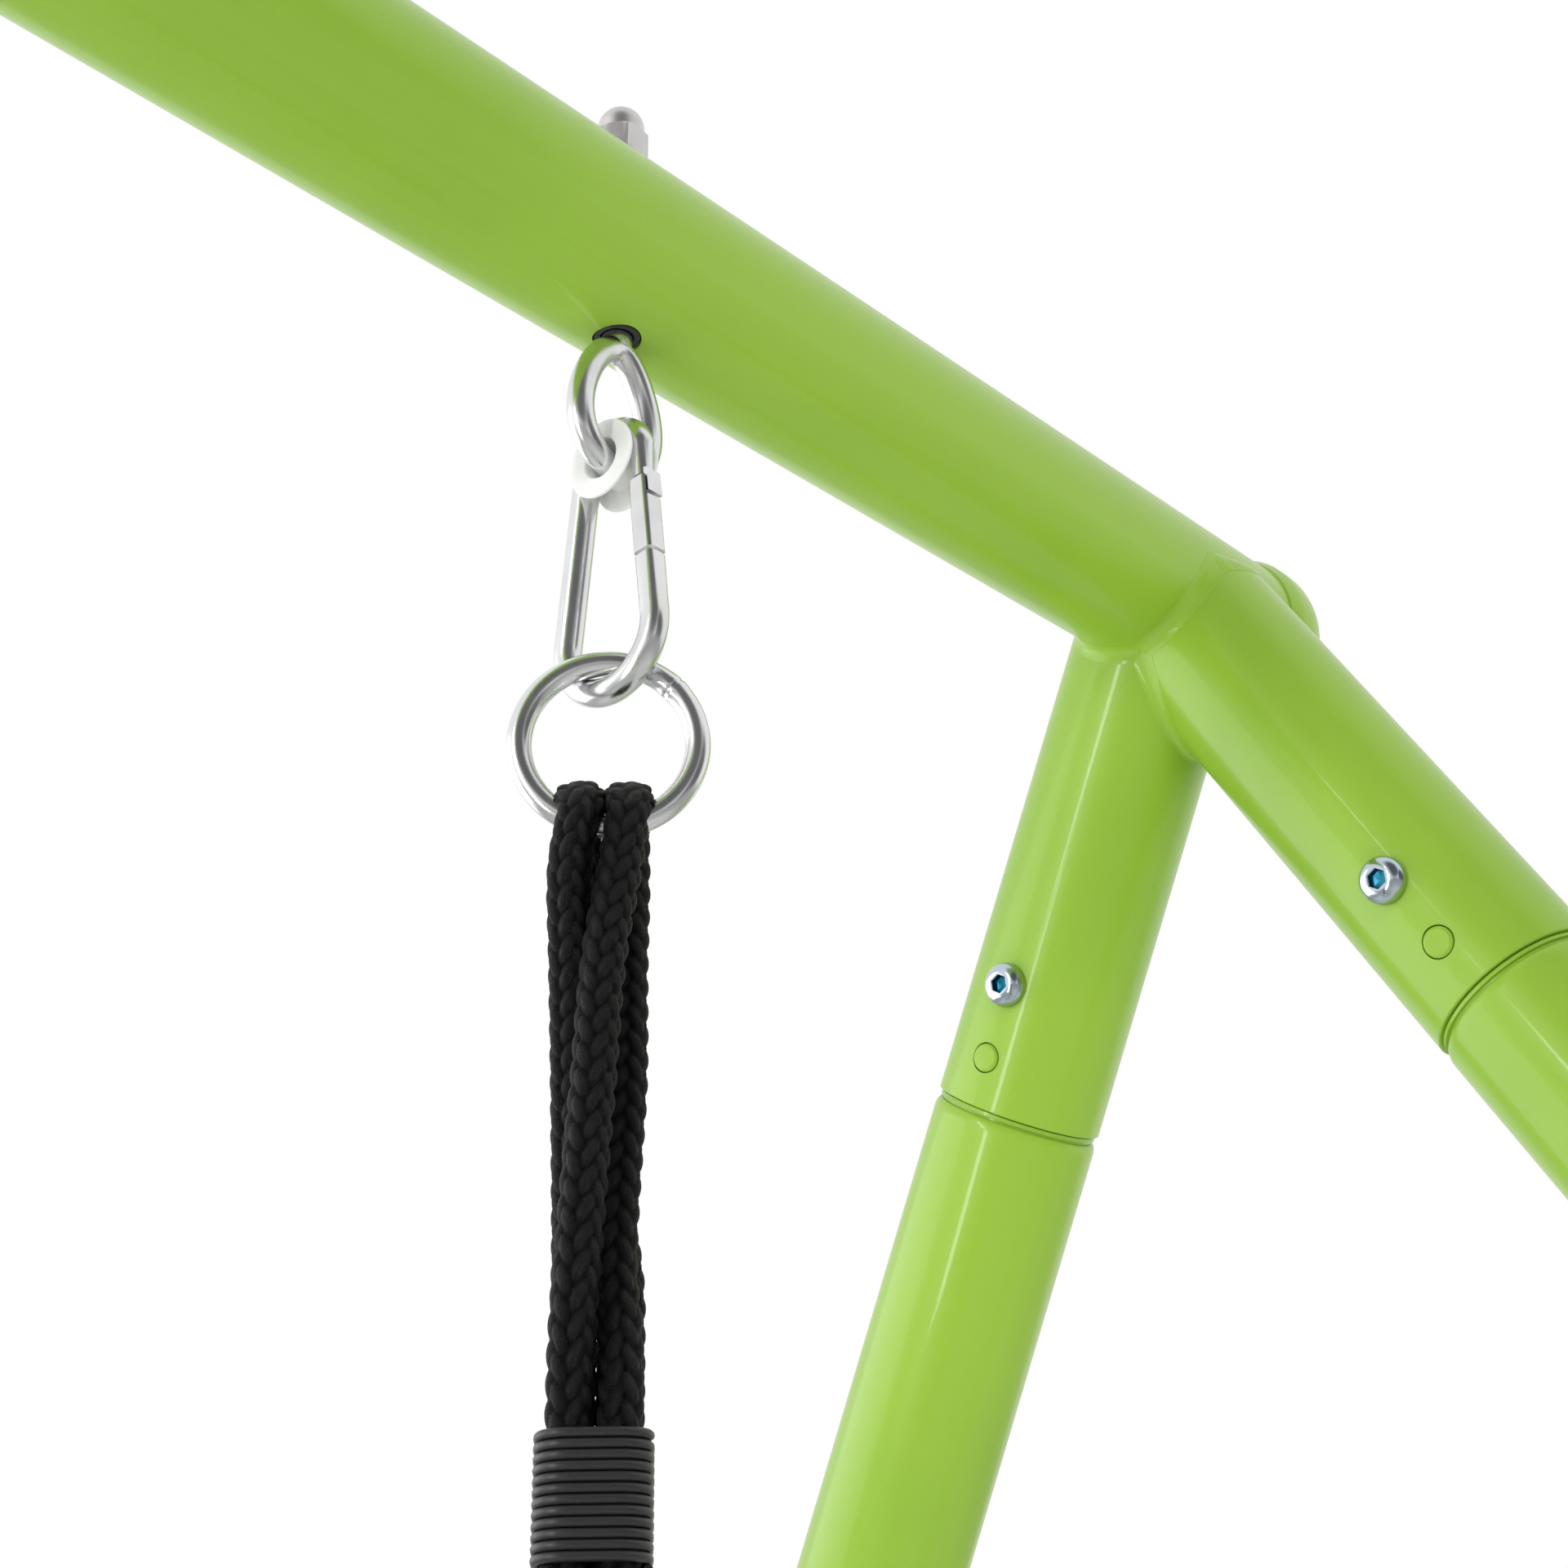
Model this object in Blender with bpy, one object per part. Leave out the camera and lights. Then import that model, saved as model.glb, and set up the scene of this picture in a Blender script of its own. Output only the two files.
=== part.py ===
"""A nest swing set: a tubular steel frame with one top beam, and a round net seat that hangs from it."""

import math

import bmesh
import bpy
from mathutils import Matrix, Vector

# Driving dimensions, in metres

CLEARANCE = 0.0003

BEAM_HEIGHT = 1.90
BEAM_OD = 0.0508
BEAM_WALL = 0.0018
CORNER_X = 0.85
BEAM_END = 0.040
CAP_WALL = 0.0018
CAP_GRIP = 0.009
CAP_DOME = 0.024

LEG_OD = 0.0528
LEG_WALL = 0.0018
LEG_OUT_SLOPE = 0.1335
LEG_SPREAD_SLOPE = 0.579
SOCKET_END = 0.1727
SOCKET_SCREW_AT = 0.1332
SOCKET_BUTTON_AT = 0.1571
FIXING_TURN = math.radians(4.9)
SWAGE_LENGTH = 0.075
SWAGE_NECK = 0.0025
SWAGE_SHOULDER = 0.0035
MID_JOINT_AT = 1.15
LEG_FLOOR_GAP = 0.024
FOOT_WALL = 0.0036
FOOT_GRIP = 0.070

CROSSBAR_OD = 0.030
CROSSBAR_WALL = 0.0016
CROSSBAR_BOLT_UP = 0.036
CROSSBAR_TAB = 0.0060
CROSSBAR_TAB_WIDTH = 0.040
CROSSBAR_TAB_REACH = 0.026
CROSSBAR_TAPER = 0.050

SCREW_D = 0.008
SCREW_HEAD_D = 0.0140
SCREW_HEAD_H = 0.0044
SCREW_SOCKET_AF = 0.005
SCREW_SOCKET_DEPTH = 0.0028
SCREW_PAST_WALL = 0.008
HOLE_SLACK = 0.0008

BUTTON_D = 0.0090
BUTTON_PROUD = 0.0006
BUTTON_FLANGE_D = 0.0116
BUTTON_FLANGE_H = 0.0012
BUTTON_TRAVEL = 0.005
SPRING_STRIP = 0.0008
SPRING_WIDTH = 0.0070
SPRING_REACH = 0.048

EYE_INBOARD = 0.2547
EYE_WIRE = 0.0070
EYE_NECK_DROP = 0.0286
EYE_BOTTOM_DROP = 0.06315
EYE_HALF_WIDTH = 0.01165
EYE_TAPER = 0.25
SHANK_D = 0.008
SHANK_CHAMFER = 0.0008
LINER_OD = 0.0120
LINER_HEAD_D = 0.0180
LINER_HEAD_H = 0.0016
LINER_CHAMFER = 0.0006
NUT_AF = 0.013
NUT_HEX_H = 0.0115
NUT_DOME_D = 0.0124
NUT_H = 0.0200
SHANK_IN_NUT = 0.014

BUSH_BORE_D = 0.0090
BUSH_LIFT = 0.00065
BUSH_CORE_WALL = 0.0008
BUSH_GROOVE = 0.0080
BUSH_FLANGE = 0.0010
BUSH_FLANGE_D = 0.0210

HOOK_WIRE = 0.0070
HOOK_RUN_GAP = 0.0004
HOOK_BOTTOM_DROP = 0.1242
HOOK_BOTTOM_R = 0.0145
HOOK_NOSE_DROP = 0.0705
HOOK_PIN_DROP = 0.0895
HOOK_TONGUE = 0.0024
HOOK_PIN_D = 0.0018
GATE_SIDE = 0.0064
GATE_EDGE = 0.0010
GATE_GAP = 0.0005

RING_WIRE = 0.0060
HOOK_RING_GAP = 0.00045
RING_MEAN_D = 0.0415
RING_TURN = math.radians(44.4)

ROPE_D = 0.0096
ROPE_LOOP_APART = 0.0122
BINDING_TOP = 0.292
BINDING_LENGTH = 0.028
BINDING_WALL = 0.0022
BINDING_HALF = 0.0050

SEAT_HEIGHT = 0.42
SEAT_RING_R = 0.50
SEAT_TUBE_D = 0.028
SEAT_TUBE_WALL = 0.0016
WEEP_HOLE_D = 0.005
COVER_D = 0.062
COVER_PINCH_D = 0.041
ATTACH_ANGLE = 40
STATION_STEP = 12
PINCH_FLAT = 2.0
PINCH_END = 4.4
SLIT_SLOPE = math.radians(15)

CLAMP_UP = 0.082
CLAMP_LENGTH = 0.030
CLAMP_WALL = 0.0028
CLAMP_HALF = 0.0052
ROPE_BUTT_GAP = 0.001
WRAP_GAP = 0.0022

NET_STRAND = 0.0085
NET_THICK = 0.0062
NET_SAG = 0.060
NET_BORDER = 0.0045
NET_STRAIGHT = 0.003
NET_RADIALS = 16
NET_RING_RADII = (0.395, 0.310, 0.225, 0.140)
NET_CENTRE_R = 0.045

# Sizes worked out from them

BEAM_R = BEAM_OD / 2
LEG_R = LEG_OD / 2
LEG_BORE_R = LEG_R - LEG_WALL
SWAGE_R = LEG_BORE_R - CLEARANCE
SWAGE_BORE_R = SWAGE_R - LEG_WALL
LEG_SLANT = math.sqrt(1 + LEG_OUT_SLOPE**2 + LEG_SPREAD_SLOPE**2)
LEG_END = (BEAM_HEIGHT - LEG_FLOOR_GAP) * LEG_SLANT
UPPER_TOP = SOCKET_END - SWAGE_LENGTH
LOWER_TOP = MID_JOINT_AT - SWAGE_LENGTH
CROSSBAR_BOLT_AT = MID_JOINT_AT - CROSSBAR_BOLT_UP
EYE_X = CORNER_X - EYE_INBOARD
BUSH_DROP = EYE_BOTTOM_DROP - BUSH_LIFT
BUSH_CORE_R = BUSH_BORE_D / 2 + BUSH_CORE_WALL
HOOK_TOP_R = BUSH_CORE_R + HOOK_RUN_GAP + HOOK_WIRE / 2
RING_TOP_DROP = HOOK_BOTTOM_DROP - HOOK_WIRE / 2 - RING_WIRE / 2 - HOOK_RING_GAP
RING_DROP = RING_TOP_DROP + RING_MEAN_D / 2
ROPE_R = ROPE_D / 2
ROPE_BEND_R = RING_WIRE / 2 + ROPE_R + CLEARANCE
SEAT_TUBE_R = SEAT_TUBE_D / 2

GREEN = (0.262, 0.456, 0.050, 1.0)
ZINC = (0.60, 0.61, 0.63, 1.0)
CHROME = (0.78, 0.78, 0.79, 1.0)
ROPE_BLACK = (0.012, 0.012, 0.013, 1.0)
PLASTIC_BLACK = (0.018, 0.018, 0.019, 1.0)
NYLON_WHITE = (0.80, 0.80, 0.79, 1.0)
COVER_GREEN = (0.13, 0.30, 0.035, 1.0)
SPRING_STEEL = (0.42, 0.43, 0.45, 1.0)


def hang_on(name, point, pieces):
    """An empty on a joint's axis, which carries the pieces that turn about it."""
    axis = bpy.data.objects.new(name, None)
    axis.location = point
    bpy.context.scene.collection.objects.link(axis)
    bpy.context.view_layer.update()
    for piece in pieces:
        piece.parent = axis
        piece.matrix_parent_inverse = axis.matrix_world.inverted()
    return axis


def clear_scene():
    for thing in list(bpy.data.objects):
        bpy.data.objects.remove(thing, do_unlink=True)


def finish(name, colour, roughness, metallic):
    """One material for each object."""
    made = bpy.data.materials.new(name)
    made.use_nodes = True
    shader = made.node_tree.nodes["Principled BSDF"]
    shader.inputs["Base Color"].default_value = colour
    shader.inputs["Roughness"].default_value = roughness
    shader.inputs["Metallic"].default_value = metallic
    made.diffuse_color = colour
    return made


FINISHES = {
    "paint": (GREEN, 0.25, 0.0),
    "zinc": (ZINC, 0.30, 1.0),
    "chrome": (CHROME, 0.12, 1.0),
    "rope": (ROPE_BLACK, 0.70, 0.0),
    "plastic": (PLASTIC_BLACK, 0.45, 0.0),
    "nylon": (NYLON_WHITE, 0.35, 0.0),
    "cover": (COVER_GREEN, 0.75, 0.0),
    "spring": (SPRING_STEEL, 0.30, 1.0),
}


def place(name, data, look, matrix=None):
    made = bpy.data.objects.new(name, data)
    bpy.context.scene.collection.objects.link(made)
    data.materials.append(finish(name, *FINISHES[look]))
    if matrix is not None:
        made.matrix_world = matrix
    return made


def solid(name, bm, look, matrix=None):
    """A mesh object made from bm, with its normals outward and its round faces shaded smooth."""
    bmesh.ops.recalc_face_normals(bm, faces=bm.faces)
    mesh = bpy.data.meshes.new(name)
    bm.to_mesh(mesh)
    bm.free()
    mesh.shade_smooth()
    mesh.set_sharp_from_angle(angle=math.radians(35))
    return place(name, mesh, look, matrix)


def helper(thing):
    """Marks a cutter or a joined-on shape, which isn't a piece of its own."""
    thing.hide_render = True
    thing.display_type = "WIRE"
    return thing


def boolean(thing, other, operation="DIFFERENCE", solver="EXACT"):
    step = thing.modifiers.new(other.name, "BOOLEAN")
    step.operation = operation
    step.solver = solver
    step.object = other


def bridge(bm, rings, closed):
    """Faces between neighbouring rings of points; a ring of one point is a tip."""
    pairs = list(zip(rings, rings[1:]))
    if closed:
        pairs.append((rings[-1], rings[0]))
    for first, second in pairs:
        count = max(len(first), len(second))
        if count == 1:
            continue
        for i in range(count):
            j = (i + 1) % count
            corners = [first[i % len(first)], first[j % len(first)]]
            corners += [second[j % len(second)], second[i % len(second)]]
            bm.faces.new(list(dict.fromkeys(corners)))


def turned(name, profile, sides, look, matrix=None, closed=True):
    """Turns (radius, height) points about Z. A tube's profile is closed; one from tip to tip is not."""
    bm = bmesh.new()
    rings = []
    for radius, height in profile:
        if radius == 0:
            rings.append([bm.verts.new((0, 0, height))])
            continue
        angles = [2 * math.pi * i / sides for i in range(sides)]
        rings.append([bm.verts.new((radius * math.cos(a), radius * math.sin(a), height)) for a in angles])
    bridge(bm, rings, closed)
    return solid(name, bm, look, matrix)


def rod(name, radius, low, high, sides, look="zinc", matrix=None):
    profile = [(0, low), (radius, low), (radius, high), (0, high)]
    return turned(name, profile, sides, look, matrix, closed=False)


def swept(name, path, radius, sides, look, normal, cyclic=False, matrix=None):
    """A round wire along a flat path, whose plane has this normal."""
    bm = bmesh.new()
    count = len(path)
    rings = []
    for i, point in enumerate(path):
        before = path[(i - 1) % count] if cyclic or i else point
        after = path[(i + 1) % count] if cyclic or i < count - 1 else point
        along = (after - before).normalized()
        across = normal.cross(along)
        ring = []
        for k in range(sides):
            angle = 2 * math.pi * (k + 0.5) / sides
            out = math.cos(angle) * across + math.sin(angle) * normal
            ring.append(bm.verts.new(point + radius * out))
        rings.append(ring)
    bridge(bm, rings, cyclic)
    if not cyclic:
        bm.faces.new(rings[0])
        bm.faces.new(rings[-1])
    return solid(name, bm, look, matrix)


def rounded_outline(half_x, half_y, radius, steps):
    """A rectangle's corners, each drawn as an arc of this radius."""
    points = []
    for quarter, (sx, sy) in enumerate(((1, 1), (-1, 1), (-1, -1), (1, -1))):
        for i in range(steps + 1):
            angle = (quarter + i / steps) * math.pi / 2
            points.append((sx * half_x + radius * math.cos(angle), sy * half_y + radius * math.sin(angle)))
    return points


def sleeve(name, half_x, half_y, bore_r, wall, length, look, matrix, steps):
    """A short sleeve with a rounded bore, centred on its own origin, along Z."""
    bm = bmesh.new()
    inner = rounded_outline(half_x, half_y, bore_r, steps)
    outer = rounded_outline(half_x, half_y, bore_r + wall, steps)
    rings = []
    half = length / 2
    for outline, height in ((outer, half), (outer, -half), (inner, -half), (inner, half)):
        rings.append([bm.verts.new((x, y, height)) for x, y in outline])
    bridge(bm, rings, True)
    bmesh.ops.remove_doubles(bm, verts=bm.verts, dist=1e-7)
    return solid(name, bm, look, matrix)


def axes_at(origin, x_axis, y_axis, z_axis):
    rotation = Matrix((x_axis, y_axis, z_axis)).transposed().to_4x4()
    return Matrix.Translation(origin) @ rotation


def facing(origin, z_axis, near_x):
    """A frame whose Z is z_axis and whose X is near_x, made square to it."""
    z = z_axis.normalized()
    x = (near_x - z * near_x.dot(z)).normalized()
    return axes_at(origin, x, z.cross(x), z)


def corner_point(side):
    return Vector((side * CORNER_X, 0, BEAM_HEIGHT))


def leg_direction(side, end):
    """Down the leg: side is 1 right or -1 left, end is 1 rear or -1 front."""
    return Vector((side * LEG_OUT_SLOPE, end * LEG_SPREAD_SLOPE, -1)) / LEG_SLANT


def leg_frame(side, end):
    """Z runs down the leg from the beam's axis and X points to the swing's middle."""
    return facing(corner_point(side), leg_direction(side, end), Vector((-side, 0, 0)))


def fixing_frame(side, end, along):
    """On the leg's axis, with Z straight out through the leg's screw or button."""
    base = leg_frame(side, end)
    toward_other = 1 if base.col[1].y * -end > 0 else -1
    turn = Matrix.Rotation(FIXING_TURN * toward_other, 4, "Z")
    return base @ Matrix.Translation((0, 0, along)) @ turn @ Matrix.Rotation(math.pi / 2, 4, "Y")


def crossbar_normal(side):
    """Square to both legs of a side, pointing out of the frame."""
    return Vector((side, 0, LEG_OUT_SLOPE)).normalized()


def crossbar_bolt_frame(side, end):
    """Z points out along the crossbar's bolt, with its origin on the leg's axis."""
    point = corner_point(side) + leg_direction(side, end) * CROSSBAR_BOLT_AT
    return facing(point, crossbar_normal(side), Vector((0, 1, 0)))


def corner_names():
    """(side, end, suffix) of the four legs."""
    return [
        (side, end, f"{side_name}_{end_name}")
        for side, side_name in ((-1, "left"), (1, "right"))
        for end, end_name in ((-1, "front"), (1, "rear"))
    ]


def leg_profile(top, bottom, shoulder_at):
    """A tube with a swaged top: outside down from the top, then inside up."""
    neck = shoulder_at + SWAGE_NECK
    full = neck + SWAGE_SHOULDER
    return [
        (SWAGE_R, top),
        (SWAGE_R, neck),
        (SWAGE_R + 0.7 * (LEG_R - SWAGE_R), neck + 0.3 * SWAGE_SHOULDER),
        (LEG_R, full),
        (LEG_R, bottom),
        (LEG_BORE_R, bottom),
        (LEG_BORE_R, full + LEG_WALL),
        (SWAGE_BORE_R, neck + LEG_WALL),
        (SWAGE_BORE_R, top),
    ]


LEG_SIDES = 16
BEAM_SIDES = 20
CROSSBAR_SIDES = 10
WIRE_SIDES = 8
BUSH_SIDES = 12
FASTENER_SIDES = 8
NUT_BORE_SIDES = 10
HOLE_SIDES = 8
SEAT_TUBE_SIDES = 8
SEAT_BORE_SIDES = 5
COVER_SIDES = 8


def socket_shape(side, end, suffix):
    """The outside of a welded socket, from inside the beam down to its rim."""
    inside_beam = [(0, BEAM_R / 4), (BEAM_R / 2, BEAM_R / 4), (LEG_R, BEAM_R / 2)]
    profile = [*inside_beam, (LEG_R, SOCKET_END), (0, SOCKET_END)]
    return turned(f"socket_{suffix}", profile, LEG_SIDES, "paint", leg_frame(side, end), closed=False)


def socket_bores(side):
    """The bores of a corner's two sockets, which stop at the beam's wall."""
    first, second = (
        rod(name, LEG_BORE_R, BEAM_R / 2, 2 * SOCKET_END, LEG_SIDES, "paint", leg_frame(side, end))
        for end, name in ((-1, f"front_bore_{side}"), (1, f"rear_bore_{side}"))
    )
    boolean(first, helper(second), "UNION")
    along_beam = facing(corner_point(side), Vector((1, 0, 0)), Vector((0, 1, 0)))
    wall_kept = BEAM_R - BEAM_WALL / 2
    cope = rod(f"socket_cope_{side}", wall_kept, -3 * LEG_R, 3 * LEG_R, BEAM_SIDES, "paint", along_beam)
    boolean(first, helper(cope))
    return first


def make_beam():
    half = CORNER_X + BEAM_END
    along = facing(Vector((0, 0, BEAM_HEIGHT)), Vector((1, 0, 0)), Vector((0, 1, 0)))
    beam = rod("beam", BEAM_R, -half, half, BEAM_SIDES, "paint", along)
    for side, end, suffix in corner_names():
        boolean(beam, helper(socket_shape(side, end, suffix)), "UNION", "MANIFOLD")
    for side in (-1, 1):
        boolean(beam, helper(socket_bores(side)), solver="MANIFOLD")
    bore = rod("beam_bore", BEAM_R - BEAM_WALL, -2 * half, 2 * half, BEAM_SIDES, "paint", along)
    boolean(beam, helper(bore), solver="MANIFOLD")
    for side in (-1, 1):
        hole_r = LINER_OD / 2 + CLEARANCE
        frame = hole_frame(side)
        hole = rod(f"eye_hole_{side}", hole_r, -2 * BEAM_R, 2 * BEAM_R, HOLE_SIDES, "paint", frame)
        boolean(beam, helper(hole), solver="MANIFOLD")
    for side, end, suffix in corner_names():
        for label, along_leg, diameter in (
            ("screw", SOCKET_SCREW_AT, SCREW_D),
            ("button", SOCKET_BUTTON_AT, BUTTON_D),
        ):
            frame = fixing_frame(side, end, along_leg)
            radius = diameter / 2 + HOLE_SLACK / 2
            hole_name = f"socket_{label}_hole_{suffix}"
            cutter = rod(hole_name, radius, LEG_R / 2, 2 * LEG_R, HOLE_SIDES, "paint", frame)
            boolean(beam, helper(cutter), solver="MANIFOLD")
    return beam


def make_end_cap(side, name):
    """A domed cap pushed over the beam's end."""
    bore = BEAM_R + CLEARANCE
    outer = bore + CAP_WALL
    start = CORNER_X + BEAM_END - CAP_GRIP
    rim = CORNER_X + BEAM_END
    steps = 3
    profile = [(outer, start), (outer, rim)]
    for i in range(1, steps):
        angle = math.pi / 2 * i / steps
        profile.append((outer * math.cos(angle), rim + CAP_DOME * math.sin(angle)))
    profile.append((0, rim + CAP_DOME))
    profile.append((0, rim + CAP_DOME - CAP_WALL))
    profile.append((bore - CAP_WALL, rim + CLEARANCE))
    profile.append((bore, rim + CLEARANCE))
    profile.append((bore, start))
    frame = facing(Vector((0, 0, BEAM_HEIGHT)), Vector((side, 0, 0)), Vector((0, 1, 0)))
    return turned(name, profile, BEAM_SIDES, "paint", frame)


def make_leg_upper(side, end, suffix):
    profile = leg_profile(UPPER_TOP, MID_JOINT_AT, SOCKET_END)
    leg = turned(f"leg_upper_{suffix}", profile, LEG_SIDES, "paint", leg_frame(side, end))
    for label, along_leg, diameter in (
        ("screw", SOCKET_SCREW_AT, SCREW_D),
        ("button", SOCKET_BUTTON_AT, BUTTON_D),
    ):
        radius = diameter / 2 + HOLE_SLACK / 2
        frame = fixing_frame(side, end, along_leg)
        hole_name = f"upper_{label}_hole_{suffix}"
        cutter = rod(hole_name, radius, LEG_R / 2, 2 * LEG_R, HOLE_SIDES, "paint", frame)
        boolean(leg, helper(cutter))
    boolean(leg, helper(crossbar_bolt_hole(side, end, f"upper_bar_hole_{suffix}")))
    return leg


def make_leg_lower(side, end, suffix):
    profile = leg_profile(LOWER_TOP, LEG_END, MID_JOINT_AT)
    leg = turned(f"leg_lower_{suffix}", profile, LEG_SIDES, "paint", leg_frame(side, end))
    boolean(leg, helper(crossbar_bolt_hole(side, end, f"lower_bar_hole_{suffix}")))
    return leg


def crossbar_bolt_hole(side, end, name):
    radius = SCREW_D / 2 + HOLE_SLACK / 2
    return rod(name, radius, LEG_R / 2, 3 * LEG_R, HOLE_SIDES, "paint", crossbar_bolt_frame(side, end))


def make_foot(side, end, suffix):
    """A rubber cap on the leg's end, cut level where it stands on the ground."""
    bore = LEG_R + CLEARANCE
    outer = bore + FOOT_WALL
    start = LEG_END - FOOT_GRIP
    floor = LEG_END + CLEARANCE
    past_ground = LEG_END + 4 * LEG_FLOOR_GAP
    profile = [
        (outer, start),
        (outer, past_ground),
        (0, past_ground),
        (0, floor),
        (bore, floor),
        (bore, start),
    ]
    foot = turned(f"foot_{suffix}", profile, LEG_SIDES, "plastic", leg_frame(side, end))
    base = foot_centre(side, end)
    size = 6 * outer
    block = bmesh.new()
    bmesh.ops.create_cube(block, size=size)
    below = Matrix.Translation((base.x, base.y, -size / 2))
    ground = solid(f"ground_cut_{suffix}", block, "plastic", below)
    boolean(foot, helper(ground))
    return foot


def foot_centre(side, end):
    """Where the leg's axis meets the ground."""
    return corner_point(side) + leg_direction(side, end) * (BEAM_HEIGHT * LEG_SLANT)


def bar_section(position, half_wide, half_thick, count):
    """An oval section of the crossbar, in its own frame: X along the bar, Z out of the frame."""
    points = []
    for i in range(count):
        angle = 2 * math.pi * i / count
        points.append(Vector((position, half_wide * math.cos(angle), half_thick * math.sin(angle))))
    return points


def make_crossbar(side, name):
    """A round tube with flattened ends, bolted to the outside of the two legs."""
    front = crossbar_bolt_frame(side, -1).translation
    rear = crossbar_bolt_frame(side, 1).translation
    normal = crossbar_normal(side)
    middle = (front + rear) / 2 + normal * (LEG_R + CLEARANCE + CROSSBAR_TAB / 2)
    reach = (rear - front).length / 2
    frame = axes_at(middle, Vector((0, 1, 0)), normal.cross(Vector((0, 1, 0))), normal)
    tab = (CROSSBAR_TAB_WIDTH / 2, CROSSBAR_TAB / 2)
    round_r = CROSSBAR_OD / 2
    stations = [
        (reach + CROSSBAR_TAB_REACH * 0.8, tab[0] * 0.62, tab[1]),
        (reach + CROSSBAR_TAB_REACH * 0.5, tab[0] * 0.95, tab[1]),
        (reach - CROSSBAR_TAB_REACH, tab[0], tab[1]),
        (reach - CROSSBAR_TAB_REACH - CROSSBAR_TAPER / 2, (tab[0] + round_r) / 2, (tab[1] + round_r) / 2),
        (reach - CROSSBAR_TAB_REACH - CROSSBAR_TAPER, round_r, round_r),
    ]
    stations += [(-position, wide, thick) for position, wide, thick in reversed(stations)]
    bm = bmesh.new()
    rings = []
    for position, wide, thick in stations:
        rings.append([bm.verts.new(p) for p in bar_section(position, wide, thick, CROSSBAR_SIDES)])
    for position, wide, thick in reversed(stations):
        section = bar_section(position, wide - CROSSBAR_WALL, thick - CROSSBAR_WALL, CROSSBAR_SIDES)
        rings.append([bm.verts.new(p) for p in section])
    bridge(bm, rings, True)
    bar = solid(name, bm, "paint", frame)
    for end in (-1, 1):
        boolean(bar, helper(crossbar_bolt_hole(side, end, f"{name}_hole_{end}")))
    return bar


def make_screw(name, frame, head_at, through):
    """A domed screw with a six-sided key hole. head_at is where its head sits, along the frame's Z."""
    seat = head_at + CLEARANCE
    radius = SCREW_HEAD_D / 2
    shank = SCREW_D / 2
    top = seat + SCREW_HEAD_H
    tip = seat - through
    profile = [
        (0, top),
        (radius * 0.55, top),
        (radius * 0.88, seat + 0.68 * SCREW_HEAD_H),
        (radius, seat + 0.2 * SCREW_HEAD_H),
        (radius, seat),
        (shank, seat),
        (shank, tip),
        (0, tip),
    ]
    screw = turned(name, profile, FASTENER_SIDES, "zinc", frame, closed=False)
    key_r = SCREW_SOCKET_AF / math.sqrt(3)
    key = rod(f"{name}_key", key_r, top - SCREW_SOCKET_DEPTH, top + SCREW_SOCKET_DEPTH, 6, "zinc", frame)
    boolean(screw, helper(key))
    return screw


def make_button(side, end, suffix):
    """The snap button: its head fills the two holes, and its flange stays inside the swage."""
    frame = fixing_frame(side, end, SOCKET_BUTTON_AT)
    radius = BUTTON_D / 2
    top = LEG_R + BUTTON_PROUD
    flange_top = SWAGE_BORE_R - 2 * CLEARANCE - (BUTTON_FLANGE_D / 2) ** 2 / (2 * SWAGE_BORE_R)
    flange_bottom = flange_top - BUTTON_FLANGE_H
    flange = BUTTON_FLANGE_D / 2
    profile = [
        (0, top),
        (radius - 0.0008, top),
        (radius, top - 0.0006),
        (radius, flange_top),
        (flange, flange_top),
        (flange, flange_bottom),
        (0, flange_bottom),
    ]
    return turned(f"snap_button_{suffix}", profile, FASTENER_SIDES, "paint", frame, closed=False)


def make_button_spring(side, end, suffix):
    """A bent strip: one arm under the button, the other against the far wall of the swage."""
    frame = fixing_frame(side, end, SOCKET_BUTTON_AT)
    flange_top = SWAGE_BORE_R - 2 * CLEARANCE - (BUTTON_FLANGE_D / 2) ** 2 / (2 * SWAGE_BORE_R)
    near = flange_top - BUTTON_FLANGE_H - CLEARANCE
    wall_dip = (SPRING_WIDTH / 2) ** 2 / (2 * SWAGE_BORE_R)
    far = -(SWAGE_BORE_R * math.cos(math.pi / LEG_SIDES) - CLEARANCE - wall_dip)
    bend = -SPRING_REACH
    tip = BUTTON_FLANGE_D / 2
    half = SPRING_STRIP
    centre = (near + far) / 2
    outline = [
        (tip, near),
        (bend * 0.55, near),
        (bend, centre + 2 * half),
        (bend, centre - 2 * half),
        (bend * 0.55, far),
        (tip, far),
        (tip, far + half),
        (bend * 0.55 + half, far + half),
        (bend + half, centre - half),
        (bend + half, centre + half),
        (bend * 0.55 + half, near - half),
        (tip, near - half),
    ]
    bm = bmesh.new()
    rings = []
    for across in (-SPRING_WIDTH / 2, SPRING_WIDTH / 2):
        rings.append([bm.verts.new((along, across, out)) for along, out in outline])
    bridge(bm, rings, False)
    bm.faces.new(rings[0])
    bm.faces.new(rings[1])
    return solid(f"button_spring_{suffix}", bm, "spring", frame)


def eye_path(count):
    """The eye's centre line, narrow at its neck, in the plane of the beam."""
    middle = -(EYE_NECK_DROP + EYE_BOTTOM_DROP) / 2
    half = (EYE_BOTTOM_DROP - EYE_NECK_DROP) / 2
    points = []
    for i in range(count):
        angle = 2 * math.pi * i / count
        across = EYE_HALF_WIDTH * math.sin(angle) * (1 - EYE_TAPER * math.cos(angle))
        points.append(Vector((across, 0, middle + half * math.cos(angle))))
    return points


def hanger_frame(side):
    """On the beam's axis above a hanger, mirrored so that X points away from the swing's middle."""
    return Matrix.Translation((side * EYE_X, 0, BEAM_HEIGHT))


def hole_frame(side):
    """The hanger's frame turned half a facet, so that no corner of the hole meets an edge of the beam."""
    return hanger_frame(side) @ Matrix.Rotation(math.pi / HOLE_SIDES, 4, "Z")


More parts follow.
